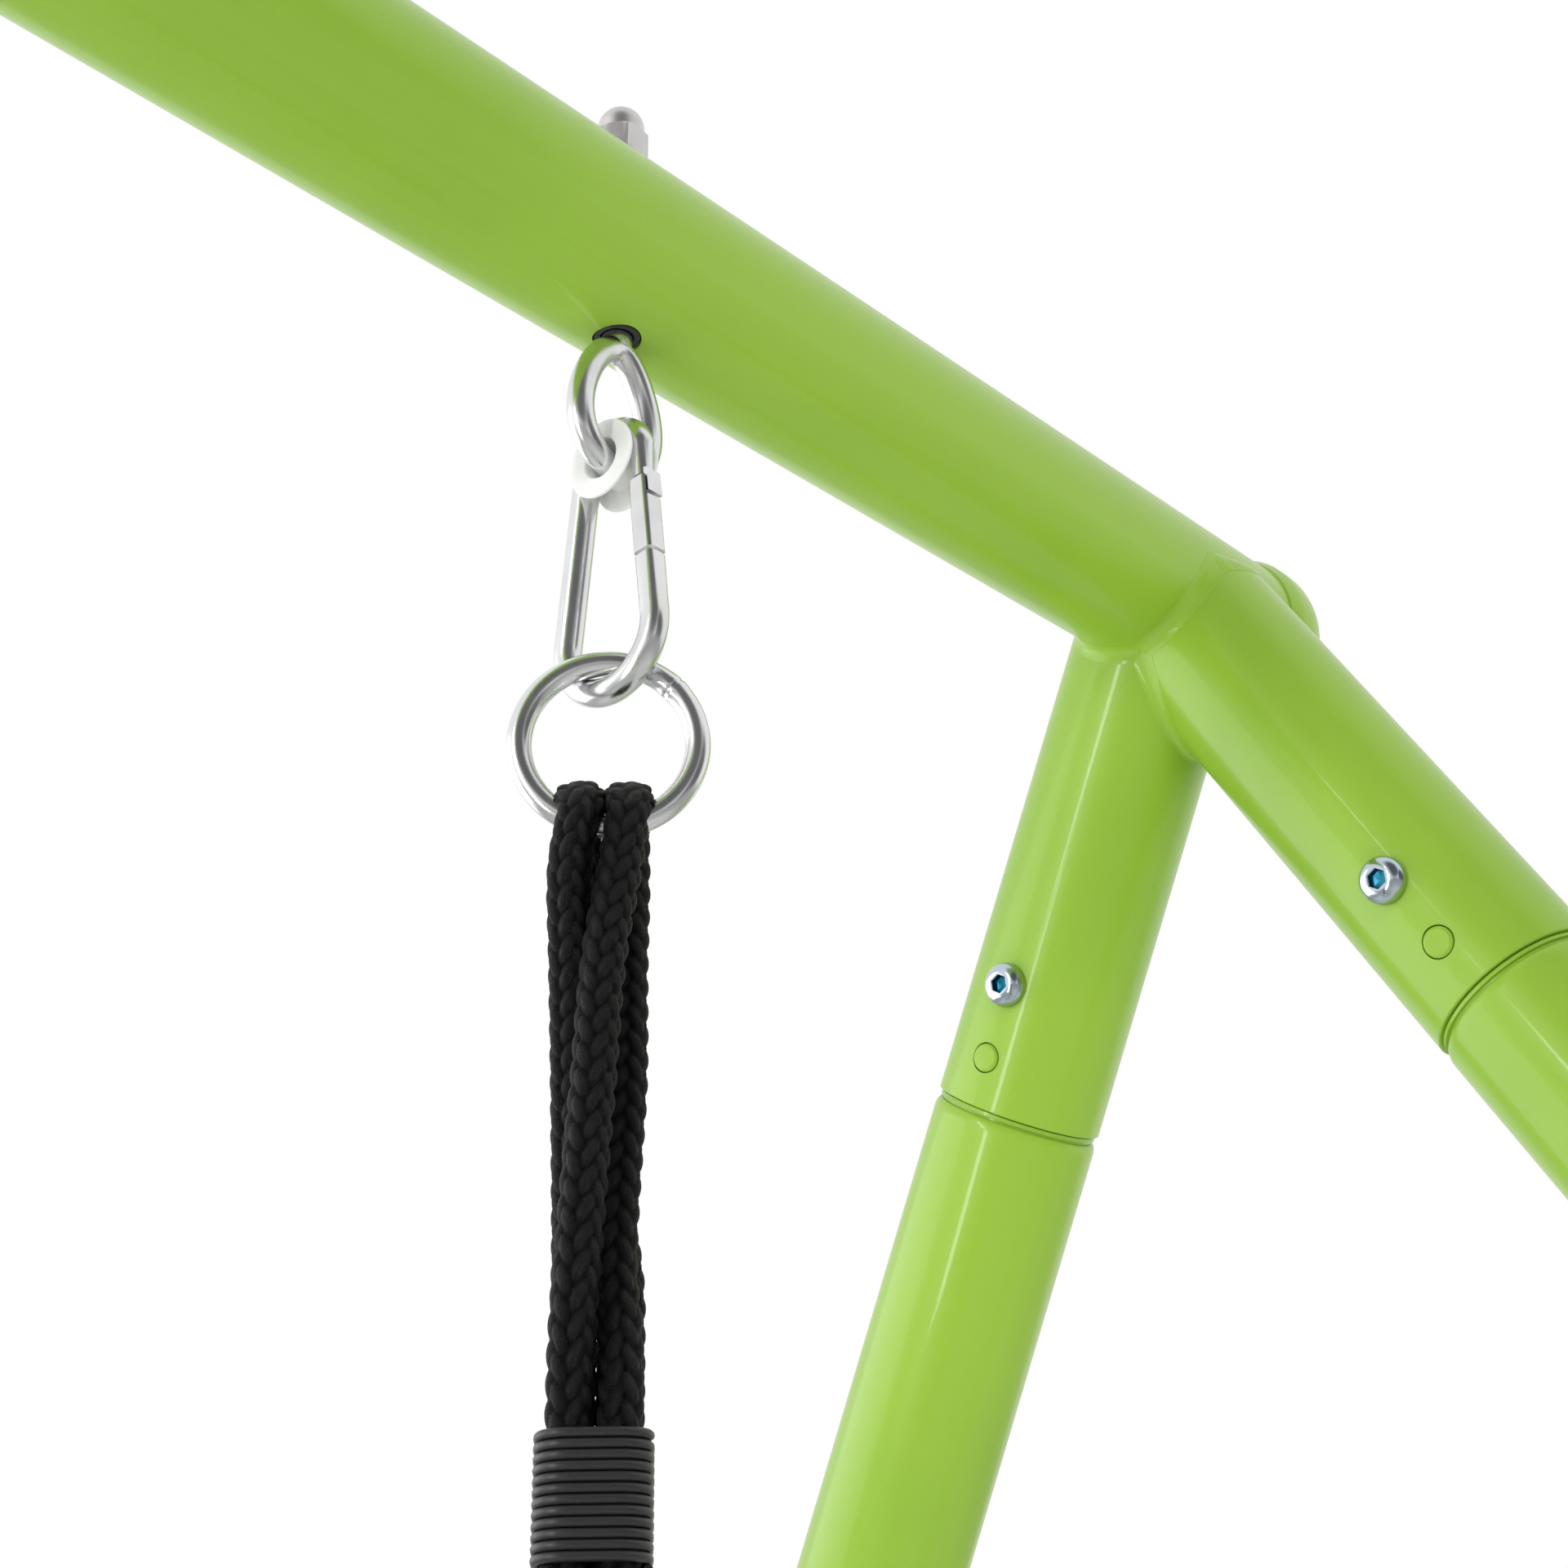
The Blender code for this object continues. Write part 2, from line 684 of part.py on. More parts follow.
def make_eyebolt(side, name):
    frame = hanger_frame(side)
    top = BEAM_R + CLEARANCE + LINER_HEAD_H + CLEARANCE + SHANK_IN_NUT
    shank_r = SHANK_D / 2
    bolt = swept(name, eye_path(20), EYE_WIRE / 2, WIRE_SIDES, "chrome", Vector((0, 1, 0)), True, frame)
    profile = [
        (0, -EYE_NECK_DROP),
        (shank_r, -EYE_NECK_DROP),
        (shank_r, top - SHANK_CHAMFER),
        (shank_r - SHANK_CHAMFER, top),
        (0, top),
    ]
    shank = turned(f"{name}_shank", profile, HOLE_SIDES, "chrome", hole_frame(side), closed=False)
    boolean(bolt, helper(shank), "UNION")
    return bolt


def make_liner(side, name):
    """A plastic sleeve through the beam, with a saddle head under the nut."""
    frame = hanger_frame(side)
    bore = SHANK_D / 2 + CLEARANCE
    outer = LINER_OD / 2
    low = -(EYE_NECK_DROP - EYE_WIRE / 2 - CLEARANCE)
    head_top = BEAM_R + CLEARANCE + LINER_HEAD_H
    saddle = BEAM_R - LINER_HEAD_D / 8
    head = LINER_HEAD_D / 2
    profile = [
        (outer, low),
        (outer, saddle),
        (head, saddle),
        (head, head_top - LINER_CHAMFER),
        (head - LINER_CHAMFER, head_top),
        (bore, head_top),
        (bore, low),
    ]
    liner = turned(name, profile, HOLE_SIDES, "plastic", hole_frame(side))
    along = facing(frame.translation, Vector((1, 0, 0)), Vector((0, 1, 0)))
    seat = BEAM_R + CLEARANCE
    tube = [(seat, -2 * head), (seat, 2 * head), (seat / 2, 2 * head), (seat / 2, -2 * head)]
    beam_shape = helper(turned(f"{name}_saddle", tube, BEAM_SIDES, "plastic", along))
    kept_r = outer + CLEARANCE / 2
    kept = rod(f"{name}_sleeve", kept_r, -seat, 2 * seat, HOLE_SIDES, "plastic", hole_frame(side))
    boolean(beam_shape, helper(kept))
    boolean(liner, beam_shape)
    return liner


def make_cap_nut(side, name):
    frame = hanger_frame(side)
    seat = BEAM_R + CLEARANCE + LINER_HEAD_H + CLEARANCE
    hex_r = NUT_AF / math.sqrt(3)
    dome_r = NUT_DOME_D / 2
    nut = rod(name, hex_r, seat, seat + NUT_HEX_H, 6, "zinc", frame)
    top = seat + NUT_H
    dome_start = top - dome_r
    profile = [(0, seat + 0.001), (dome_r, seat + 0.001), (dome_r, dome_start)]
    for share in (0.25, 0.5, 0.75):
        angle = share * math.pi / 2
        profile.append((dome_r * math.cos(angle), dome_start + dome_r * math.sin(angle)))
    profile.append((0, top))
    dome = turned(f"{name}_dome", profile, HOLE_SIDES, "zinc", frame, closed=False)
    boolean(nut, helper(dome), "UNION")
    bore_top = seat + SHANK_IN_NUT + 2 * CLEARANCE
    bore_r = SHANK_D / 2 + CLEARANCE
    bore = rod(f"{name}_bore", bore_r, seat - NUT_H, bore_top, NUT_BORE_SIDES, "zinc", frame)
    boolean(nut, helper(bore))
    return nut


def make_bush(side, name):
    """A flanged nylon spool on the eye's lower bend, which carries the snap hook."""
    centre = Vector((side * EYE_X, 0, BEAM_HEIGHT - BUSH_DROP))
    frame = facing(centre, Vector((1, 0, 0)), Vector((0, 1, 0)))
    half = BUSH_GROOVE / 2
    end = half + BUSH_FLANGE
    flange = BUSH_FLANGE_D / 2
    bore = BUSH_BORE_D / 2
    profile = [
        (flange, -end),
        (flange, -half),
        (BUSH_CORE_R, -half),
        (BUSH_CORE_R, half),
        (flange, half),
        (flange, end),
        (bore + 0.0009, end),
        (bore, half - 0.0015),
        (bore, 0.0015 - half),
        (bore + 0.0009, -end),
    ]
    return turned(name, profile[::-1], BUSH_SIDES, "nylon", frame)


def arc(centre, radius, start, end, steps):
    """Points on an arc in the YZ plane, angles in degrees from +Y towards +Z."""
    points = []
    for i in range(steps + 1):
        angle = math.radians(start + (end - start) * i / steps)
        points.append(Vector((0, centre.y + radius * math.cos(angle), centre.z + radius * math.sin(angle))))
    return points


def hook_lean():
    """How far the hook's straight sides lean out, in radians."""
    drop = HOOK_BOTTOM_DROP - HOOK_BOTTOM_R - BUSH_DROP
    return math.asin((HOOK_BOTTOM_R - HOOK_TOP_R) / drop)


def hook_side_at(drop):
    """The point of the gate's side line at this drop below the beam's axis."""
    lean = hook_lean()
    y_top = -HOOK_TOP_R * math.cos(lean)
    z_top = -BUSH_DROP + HOOK_TOP_R * math.sin(lean)
    return Vector((0, y_top - (-drop - z_top) * -math.tan(lean), -drop))


def hook_path():
    """From the nose over the bush, down the spine, round the bottom and up to the gate's pin."""
    lean = math.degrees(hook_lean())
    top = Vector((0, 0, -BUSH_DROP))
    bottom = Vector((0, 0, -(HOOK_BOTTOM_DROP - HOOK_BOTTOM_R)))
    path = [hook_side_at(HOOK_NOSE_DROP)]
    path += arc(top, HOOK_TOP_R, 180 - lean, lean, 8)
    path += arc(bottom, HOOK_BOTTOM_R, lean, -180 - lean, 11)
    path.append(hook_side_at(HOOK_PIN_DROP + GATE_SIDE / 2 + GATE_GAP))
    return path


def along_gate():
    """Unit vector up the gate, from its pin to the nose."""
    return (hook_side_at(HOOK_NOSE_DROP) - hook_side_at(HOOK_PIN_DROP)).normalized()


def pin_frame(side):
    """At the gate's pin: X along the pin, Z up the gate."""
    point = hook_side_at(HOOK_PIN_DROP)
    up = along_gate()
    frame = axes_at(point, Vector((1, 0, 0)), up.cross(Vector((1, 0, 0))), up)
    return hanger_frame(side) @ frame


def flat_piece(name, outline, half, look, matrix):
    """An outline of (y, z) points, extruded to both sides along X."""
    bm = bmesh.new()
    rings = [[bm.verts.new((x, y, z)) for y, z in outline] for x in (-half, half)]
    bridge(bm, rings, False)
    bm.faces.new(rings[0])
    bm.faces.new(rings[1])
    return solid(name, bm, look, matrix)


def round_end_outline(half, top, radius, steps):
    """A strip with a round lower end about the origin and a square upper end."""
    points = [(half, top), (-half, top)]
    for i in range(steps + 1):
        angle = math.pi + math.pi * i / steps
        points.append((radius * math.cos(angle), radius * math.sin(angle)))
    return points


def make_hook(side, name):
    plane = Vector((1, 0, 0))
    wire_r = HOOK_WIRE / 2
    hook = swept(name, hook_path(), wire_r, WIRE_SIDES, "chrome", plane, False, hanger_frame(side))
    frame = pin_frame(side)
    tongue_r = GATE_SIDE * 0.3
    tongue = [(tongue_r * math.cos(a), tongue_r * math.sin(a)) for a in (i * math.pi / 6 for i in range(7))]
    tongue += [(-tongue_r, -GATE_SIDE), (tongue_r, -GATE_SIDE)]
    plate = flat_piece(f"{name}_tongue", tongue, HOOK_TONGUE / 2, "chrome", frame)
    boolean(hook, helper(plate), "UNION")
    across = frame @ Matrix.Rotation(math.pi / 2, 4, "Y")
    pin_r = HOOK_PIN_D / 2 + CLEARANCE
    pin_hole = rod(f"{name}_pin_hole", pin_r, -GATE_SIDE, GATE_SIDE, 8, "chrome", across)
    boolean(hook, helper(pin_hole))
    return hook


def make_gate(side, name):
    """The hook's sprung gate: a square bar, forked at its pin."""
    frame = pin_frame(side)
    top = (hook_side_at(HOOK_NOSE_DROP) - hook_side_at(HOOK_PIN_DROP)).length - GATE_GAP
    half = GATE_SIDE / 2
    gate = flat_piece(name, round_end_outline(half, top, half, 8), half, "chrome", frame)
    edge = gate.modifiers.new("edges", "BEVEL")
    edge.width = GATE_EDGE
    edge.segments = 1
    edge.limit_method = "ANGLE"
    edge.angle_limit = math.radians(40)
    slot_half = HOOK_TONGUE / 2 + CLEARANCE
    slot = round_end_outline(GATE_SIDE, GATE_SIDE * 0.3 + 2 * CLEARANCE, GATE_SIDE, 4)
    boolean(gate, helper(flat_piece(f"{name}_slot", slot, slot_half, "chrome", frame)))
    across = frame @ Matrix.Rotation(math.pi / 2, 4, "Y")
    pin = rod(f"{name}_pin", HOOK_PIN_D / 2, -half + 0.0002, half - 0.0002, 8, "chrome", across)
    boolean(gate, helper(pin), "UNION")
    return gate


def ring_axes(side):
    """(along the ring's lower bend, out of its plane) in world axes, mirrored for the left hanger."""
    along = Vector((side * math.sin(RING_TURN), -math.cos(RING_TURN), 0))
    outward = Vector((-side * math.cos(RING_TURN), -math.sin(RING_TURN), 0))
    return along, outward


def make_ring(side, name):
    along, outward = ring_axes(side)
    path = []
    count = 24
    for i in range(count):
        angle = 2 * math.pi * (i + 0.5) / count
        path.append(RING_MEAN_D / 2 * (math.cos(angle) * along + math.sin(angle) * Vector((0, 0, 1))))
    frame = hanger_frame(side) @ Matrix.Translation((0, 0, -RING_DROP))
    return swept(name, path, RING_WIRE / 2, WIRE_SIDES, "chrome", outward, True, frame)


# Each rope strand's way from the ring to the binding: (along the ring's bend, out of its plane, drop), in
# metres. The front strand of the right loop crosses in front of the left one, and its pair turns with it.
STRANDS = {
    "left_front": [
        (-0.0079, 0.0079, 0.172),
        (-0.0072, 0.0050, 0.192),
        (-0.0063, 0.0012, 0.214),
        (-0.0049, -0.0043, 0.259),
        (-0.0050, -0.0049, 0.275),
    ],
    "right_front": [
        (0.0045, 0.0092, 0.172),
        (0.0014, 0.0103, 0.192),
        (-0.0010, 0.0100, 0.214),
        (-0.0041, 0.0086, 0.259),
        (-0.0049, 0.0069, 0.275),
    ],
    "right_rear": [
        (0.0063, -0.0078, 0.172),
        (0.0060, -0.0056, 0.192),
        (0.0053, -0.0034, 0.214),
        (0.0034, 0.0014, 0.259),
        (0.0048, 0.0029, 0.275),
    ],
    "left_rear": [
        (-0.0066, -0.0082, 0.172),
        (-0.0050, -0.0096, 0.192),
        (-0.0030, -0.0108, 0.214),
        (0.0007, -0.0119, 0.236),
        (0.0046, -0.0094, 0.259),
        (0.0050, -0.0076, 0.275),
    ],
}
BINDING_PLACE = {
    "left_front": (-1, -1),
    "right_front": (-1, 1),
    "right_rear": (1, 1),
    "left_rear": (1, -1),
}


def from_ring(side, along_share, out_share, drop):
    along, outward = ring_axes(side)
    point = hanger_frame(side).translation + along * along_share + outward * out_share
    return point - Vector((0, 0, drop))


def attach_point(side, end):
    angle = math.radians(ATTACH_ANGLE)
    return Vector((side * SEAT_RING_R * math.cos(angle), end * SEAT_RING_R * math.sin(angle), SEAT_HEIGHT))


def binding_point(side, key, drop):
    place_along, place_out = BINDING_PLACE[key]
    return from_ring(side, place_along * BINDING_HALF, place_out * BINDING_HALF, drop)


def attach_frame(side, end):
    """At the seat tube's centre: Z up the rope, X out from the seat's middle."""
    base = attach_point(side, end)
    middle = hanger_frame(side).translation - Vector((0, 0, BINDING_TOP + BINDING_LENGTH))
    return facing(base, middle - base, Vector((base.x, base.y, 0)))


def strand_down(side, keys, place_sign, frame, steps):
    """One strand from the binding to the clamp, turning about its pair as it goes down."""
    drop = BINDING_TOP + BINDING_LENGTH
    own, other = (binding_point(side, key, drop) for key in keys)
    centre = (own + other) / 2
    half = own - centre
    clamp_top = frame @ Vector((0, 0, CLAMP_UP + CLAMP_LENGTH / 2))
    goal = frame.to_3x3() @ Vector((place_sign * CLAMP_HALF, 0, 0))
    start_angle = math.atan2(half.y, half.x)
    turn = (math.atan2(goal.y, goal.x) - start_angle + math.pi) % (2 * math.pi) - math.pi
    points = []
    for i in range(1, steps):
        share = i / steps
        angle = start_angle + turn * share
        length = half.length * (1 - share) + CLAMP_HALF * share
        offset = Vector((length * math.cos(angle), length * math.sin(angle), goal.z * share))
        points.append(centre.lerp(clamp_top, share) + offset)
    return points


WRAP_R = COVER_PINCH_D / 2 + ROPE_R + WRAP_GAP


def wrap_side(sign):
    """(out, up) in the attach frame, from the clamp's foot down to the seat tube's level."""
    return [
        (sign * CLAMP_HALF, CLAMP_UP - CLAMP_LENGTH / 2),
        (sign * (CLAMP_HALF + 0.0035), 0.053),
        (sign * 0.0165, 0.036),
        (sign * 0.0245, 0.016),
    ]


def loop_over_ring(side, loop_sign):
    """The half turn over the ring's lower bend, from the front strand to the rear one."""
    across = loop_sign * ROPE_LOOP_APART / 2
    rise = RING_MEAN_D / 2 - math.sqrt((RING_MEAN_D / 2) ** 2 - across**2)
    drop = RING_DROP + RING_MEAN_D / 2 - rise
    points = []
    to_middle = RING_MEAN_D / 2 - ROPE_BEND_R
    bend_up = RING_MEAN_D / 2 - rise - math.sqrt(to_middle**2 - across**2)
    for i in range(9):
        angle = math.pi * i / 8
        out = ROPE_BEND_R * math.cos(angle)
        points.append(from_ring(side, across, out, drop - bend_up * math.sin(angle)))
    return points


def rope_route(side, loop):
    """From the butt end in the clamp round the seat tube, up, over the ring and back to the clamp."""
    end = -1 if loop == "right" else 1
    front, rear = f"{loop}_front", f"{loop}_rear"
    frame = attach_frame(side, end)
    places = {}
    for key, other in ((front, rear), (rear, front)):
        offset = binding_point(side, key, 0) - binding_point(side, other, 0)
        places[key] = 1 if offset.dot(frame.col[0].to_3d()) > 0 else -1
    up_key, down_key = front, rear
    up_sign = places[up_key]
    points = [frame @ Vector((-up_sign * CLAMP_HALF, 0, CLAMP_UP - ROPE_BUTT_GAP))]
    points += [frame @ Vector((out, 0, up)) for out, up in wrap_side(-up_sign)]
    for i in range(7):
        angle = math.pi * i / 6
        points.append(frame @ Vector((-up_sign * WRAP_R * math.cos(angle), 0, -WRAP_R * math.sin(angle))))
    points += [frame @ Vector((out, 0, up)) for out, up in reversed(wrap_side(up_sign))]
    points.append(frame @ Vector((up_sign * CLAMP_HALF, 0, CLAMP_UP + CLAMP_LENGTH / 2)))
    points += reversed(strand_down(side, (up_key, down_key), up_sign, frame, 4))
    points.append(binding_point(side, up_key, BINDING_TOP + BINDING_LENGTH))
    points.append(binding_point(side, up_key, BINDING_TOP))
    points += [from_ring(side, *spot) for spot in reversed(STRANDS[up_key])]
    points += loop_over_ring(side, 1 if loop == "right" else -1)
    points += [from_ring(side, *spot) for spot in STRANDS[down_key]]
    points.append(binding_point(side, down_key, BINDING_TOP))
    points.append(binding_point(side, down_key, BINDING_TOP + BINDING_LENGTH))
    points += strand_down(side, (down_key, up_key), -up_sign, frame, 4)
    points.append(frame @ Vector((-up_sign * CLAMP_HALF, 0, CLAMP_UP + CLAMP_LENGTH / 2)))
    points.append(frame @ Vector((-up_sign * CLAMP_HALF, 0, CLAMP_UP + ROPE_BUTT_GAP)))
    return points


def make_rope(side, loop, name):
    curve = bpy.data.curves.new(name, "CURVE")
    curve.dimensions = "3D"
    curve.bevel_depth = ROPE_R
    curve.bevel_resolution = 2
    curve.use_fill_caps = True
    route = rope_route(side, loop)
    spline = curve.splines.new("POLY")
    spline.points.add(len(route) - 1)
    for point, place_at in zip(spline.points, route):
        point.co = (*place_at, 1)
    return place(name, curve, "rope")


def make_binding(side, name):
    along = ring_axes(side)[0]
    centre = from_ring(side, 0, 0, BINDING_TOP + BINDING_LENGTH / 2)
    frame = facing(centre, Vector((0, 0, 1)), along)
    bore_r = ROPE_R + CLEARANCE
    return sleeve(name, BINDING_HALF, BINDING_HALF, bore_r, BINDING_WALL, BINDING_LENGTH, "rope", frame, 2)


def make_clamp(side, end, name):
    frame = attach_frame(side, end) @ Matrix.Translation((0, 0, CLAMP_UP))
    bore_r = ROPE_R + CLEARANCE
    return sleeve(name, CLAMP_HALF, 0, bore_r, CLAMP_WALL, CLAMP_LENGTH, "plastic", frame, 2)


def stations():
    """Angles round the seat, in degrees, with more of them where the ropes draw the cover in."""
    angles = {float(a) for a in range(0, 360, STATION_STEP) if attach_offset(a) > 1.5 * PINCH_END}
    for attach in attach_angles():
        for offset in (PINCH_FLAT, PINCH_END):
            angles |= {attach - offset, attach + offset}
    return sorted(angles)


def attach_angles():
    return [ATTACH_ANGLE, 180 - ATTACH_ANGLE, 180 + ATTACH_ANGLE, 360 - ATTACH_ANGLE]


def attach_offset(angle):
    """How far this angle is from the nearest rope, in degrees."""
    return min(abs(angle - attach) for attach in attach_angles())


def cover_radius(angle):
    off = attach_offset(angle)
    if off <= PINCH_FLAT:
        return COVER_PINCH_D / 2
    if off <= PINCH_END:
        return (COVER_PINCH_D * 0.3 + COVER_D * 0.7) / 2
    return COVER_D / 2


def ring_point(angle, out, up):
    """A point beside the seat tube's centre line: out from the seat's middle, and up."""
    a = math.radians(angle)
    reach = SEAT_RING_R + out
    return Vector((reach * math.cos(a), reach * math.sin(a), SEAT_HEIGHT + up))


def tube_spots():
    """Angles of the seat tube's corners in its section; two of them are level with the slit's edges."""
    step = 2 * math.pi / SEAT_TUBE_SIDES
    return [math.pi + SLIT_SLOPE + step * (k + 0.5) for k in range(SEAT_TUBE_SIDES)]


def make_seat_ring():
    bm = bmesh.new()
    outer = []
    inner = []
    bore = SEAT_TUBE_R * math.cos(math.pi / SEAT_TUBE_SIDES) - SEAT_TUBE_WALL
    bore_spots = [2 * math.pi * k / SEAT_BORE_SIDES for k in range(SEAT_BORE_SIDES)]
    for angle in stations():
        for rings, radius, spots in ((outer, SEAT_TUBE_R, tube_spots()), (inner, bore, bore_spots)):
            points = [ring_point(angle, radius * math.cos(s), radius * math.sin(s)) for s in spots]
            rings.append([bm.verts.new(point) for point in points])
    bridge(bm, outer, True)
    bridge(bm, inner, True)
    bmesh.ops.recalc_face_normals(bm, faces=bm.faces)
    bore_verts = {v for ring in inner for v in ring}
    bmesh.ops.reverse_faces(bm, faces=[f for f in bm.faces if bore_verts.issuperset(f.verts)])
    mesh = bpy.data.meshes.new("seat_ring")
    bm.to_mesh(mesh)
    bm.free()
    mesh.shade_smooth()
    tube = place("seat_ring", mesh, "zinc")
    hole = Matrix.Translation(ring_point(90, 0, -SEAT_TUBE_R))
    half = SEAT_TUBE_R / 2
    boolean(tube, helper(rod("weep_hole", WEEP_HOLE_D / 2, -half, half, 8, "zinc", hole)))
    return tube


def cover_section(radius):
    """A padded sleeve's section with a slit towards the net: (out, up) points, outside then inside."""
    bore = SEAT_TUBE_R + CLEARANCE / math.cos(math.pi / SEAT_TUBE_SIDES)
    slit_half = bore * math.sin(math.pi / SEAT_TUBE_SIDES)
    gap = math.asin(slit_half / radius)
    slit_at = math.pi + SLIT_SLOPE
    step = (2 * math.pi - 2 * gap) / (COVER_SIDES - 1)
    spots = [slit_at + gap + step * i for i in range(COVER_SIDES)]
    outside = [(radius * math.cos(spot), radius * math.sin(spot)) for spot in spots]
    inside = [(bore * math.cos(spot), bore * math.sin(spot)) for spot in reversed(tube_spots())]
    return outside + inside


def make_seat_cover():
    bm = bmesh.new()
    rings = []
    for angle in stations():
        section = cover_section(cover_radius(angle))
        rings.append([bm.verts.new(ring_point(angle, out, up)) for out, up in section])
    bridge(bm, rings, True)
    return solid("seat_cover", bm, "cover")


def net_height(reach):
    """The net's middle surface: down the cover's slit, then a shallow bowl."""
    edge = SEAT_RING_R - (COVER_D / 2 + NET_STRAIGHT) * math.cos(SLIT_SLOPE)
    if reach > edge:
        return (reach - SEAT_RING_R) * math.tan(SLIT_SLOPE)
    at_edge = (edge - SEAT_RING_R) * math.tan(SLIT_SLOPE)
    return at_edge - NET_SAG * (1 - (reach / edge) ** 2)


def net_point(angle, reach):
    a = math.radians(angle)
    return Vector((reach * math.cos(a), reach * math.sin(a), SEAT_HEIGHT + net_height(reach)))


def border_point(angle, reach):
    """Like net_point, but on the straight line between the two neighbouring stations."""
    angles = stations()
    after = next((a for a in angles if a > angle), angles[0] + 360)
    before = max((a for a in angles if a <= angle), default=angles[-1] - 360)
    first, second = net_point(before, reach), net_point(after, reach)
    across = Vector((-math.sin(math.radians(angle)), math.cos(math.radians(angle)), 0))
    share = first.dot(across) / (first.dot(across) - second.dot(across))
    return first.lerp(second, share)


def slab(name, points, faces, look):
    """A sheet of outlines, all the same way round, given the net's thickness."""
    bm = bmesh.new()
    half = Vector((0, 0, NET_THICK / 2))
    top = [bm.verts.new(p + half) for p in points]
    low = [bm.verts.new(p - half) for p in points]
    sides = set()
    for face in faces:
        bm.faces.new([top[i] for i in face])
        bm.faces.new([low[i] for i in reversed(face)])
        sides |= {(a, b) for a, b in zip(face, face[1:] + face[:1])}
    for a, b in sides:
        if (b, a) not in sides:
            bm.faces.new([low[a], low[b], top[b], top[a]])
    return solid(name, bm, look)


def make_net():
    """A web of radial strands and straight-sided rings, whose border lies in the cover's slit."""
    outer = SEAT_RING_R - (SEAT_TUBE_R + 2 * CLEARANCE) / math.cos(SLIT_SLOPE)
    inner = outer - NET_BORDER
    radials = [360 * (i + 0.5) / NET_RADIALS for i in range(NET_RADIALS)]
    points = []
    faces = []

    def add(point):
        points.append(point)
        return len(points) - 1

    def corners(angle, reach, maker):
        """The strand's two corners at this reach, the one at the smaller angle first."""
        half = math.degrees(math.asin(NET_STRAND / 2 / reach))
        return [add(maker(angle - half, reach)), add(maker(angle + half, reach))]

    ends = [corners(angle, inner, border_point) for angle in radials]
    around = stations()
    outside = {angle: add(net_point(angle, outer)) for angle in around}
    inside = {angle: add(net_point(angle, inner)) for angle in around}
    for before, after in zip(around, around[1:] + around[:1]):
        last = after if after > before else after + 360
        taken = [ends[i] for i, angle in enumerate(radials) if before < angle < last]
        between = [point for pair in reversed(taken) for point in reversed(pair)]
        faces.append([outside[before], outside[after], inside[after], *between, inside[before]])
    edge = SEAT_RING_R - COVER_D / 2 - NET_STRAIGHT
    upper = [corners(angle, edge, net_point) for angle in radials]
    for first, second in zip(ends, upper):
        faces.append([first[0], first[1], second[1], second[0]])
    for reach in NET_RING_RADII:
        outer_row = [corners(angle, reach + NET_STRAND / 2, net_point) for angle in radials]
        inner_row = [corners(angle, reach - NET_STRAND / 2, net_point) for angle in radials]
        for i, (above, out, into) in enumerate(zip(upper, outer_row, inner_row)):
            j = (i + 1) % NET_RADIALS
            faces.append([above[0], above[1], out[1], out[0]])
            faces.append([out[0], out[1], into[1], into[0]])
            faces.append([out[1], outer_row[j][0], inner_row[j][0], into[1]])
        upper = inner_row
    centre = [corners(angle, NET_CENTRE_R, net_point) for angle in radials]
    for above, rim in zip(upper, centre):
        faces.append([above[0], above[1], rim[1], rim[0]])
    faces.append([corner for pair in centre for corner in pair])
    return slab("net", points, faces, "rope")


def make_frame():
    make_beam()
    for side, name in ((-1, "left"), (1, "right")):
        make_end_cap(side, f"end_cap_{name}")
        make_crossbar(side, f"crossbar_{name}")
        make_eyebolt(side, f"eyebolt_{name}")
        make_liner(side, f"hole_liner_{name}")
        make_cap_nut(side, f"cap_nut_{name}")
    wall = LEG_WALL * 2 + CLEARANCE
    for side, end, suffix in corner_names():
        make_leg_upper(side, end, suffix)
        make_leg_lower(side, end, suffix)
        make_foot(side, end, suffix)
        make_button(side, end, suffix)
        make_button_spring(side, end, suffix)
        socket = fixing_frame(side, end, SOCKET_SCREW_AT)
        make_screw(f"socket_screw_{suffix}", socket, LEG_R, wall + SCREW_PAST_WALL)
        bolt = crossbar_bolt_frame(side, end)
        tab = CLEARANCE + CROSSBAR_TAB
        make_screw(f"crossbar_screw_{suffix}", bolt, LEG_R + tab, tab + wall + SCREW_PAST_WALL)


def make_swing():
    hanging = []
    for side, name in ((-1, "left"), (1, "right")):
        hanging.append(make_bush(side, f"bush_{name}"))
        hanging.append(make_hook(side, f"snap_hook_{name}"))
        gate = make_gate(side, f"hook_gate_{name}")
        hanging.append(hang_on(f"gate_pin_axis_{name}", pin_frame(side).translation, [gate]))
        hanging.append(make_ring(side, f"ring_{name}"))
        hanging.append(make_binding(side, f"rope_binding_{name}"))
        for loop, end, end_name in (("right", -1, "front"), ("left", 1, "rear")):
            hanging.append(make_rope(side, loop, f"rope_{name}_{end_name}"))
            hanging.append(make_clamp(side, end, f"rope_clamp_{name}_{end_name}"))
    hanging += [make_seat_ring(), make_seat_cover(), make_net()]
    hang_on("swing_axis", (0, 0, BEAM_HEIGHT - BUSH_DROP), hanging)


clear_scene()
make_frame()
make_swing()
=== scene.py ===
"""Dresses a nest swing set: fine meshes, finishes, light and camera.

Laid out as an add-on, and run as a script."""

import math

import bmesh
import bpy
import numpy as np
from bpy.props import FloatProperty, FloatVectorProperty, IntProperty, PointerProperty
from mathutils import Matrix, Vector


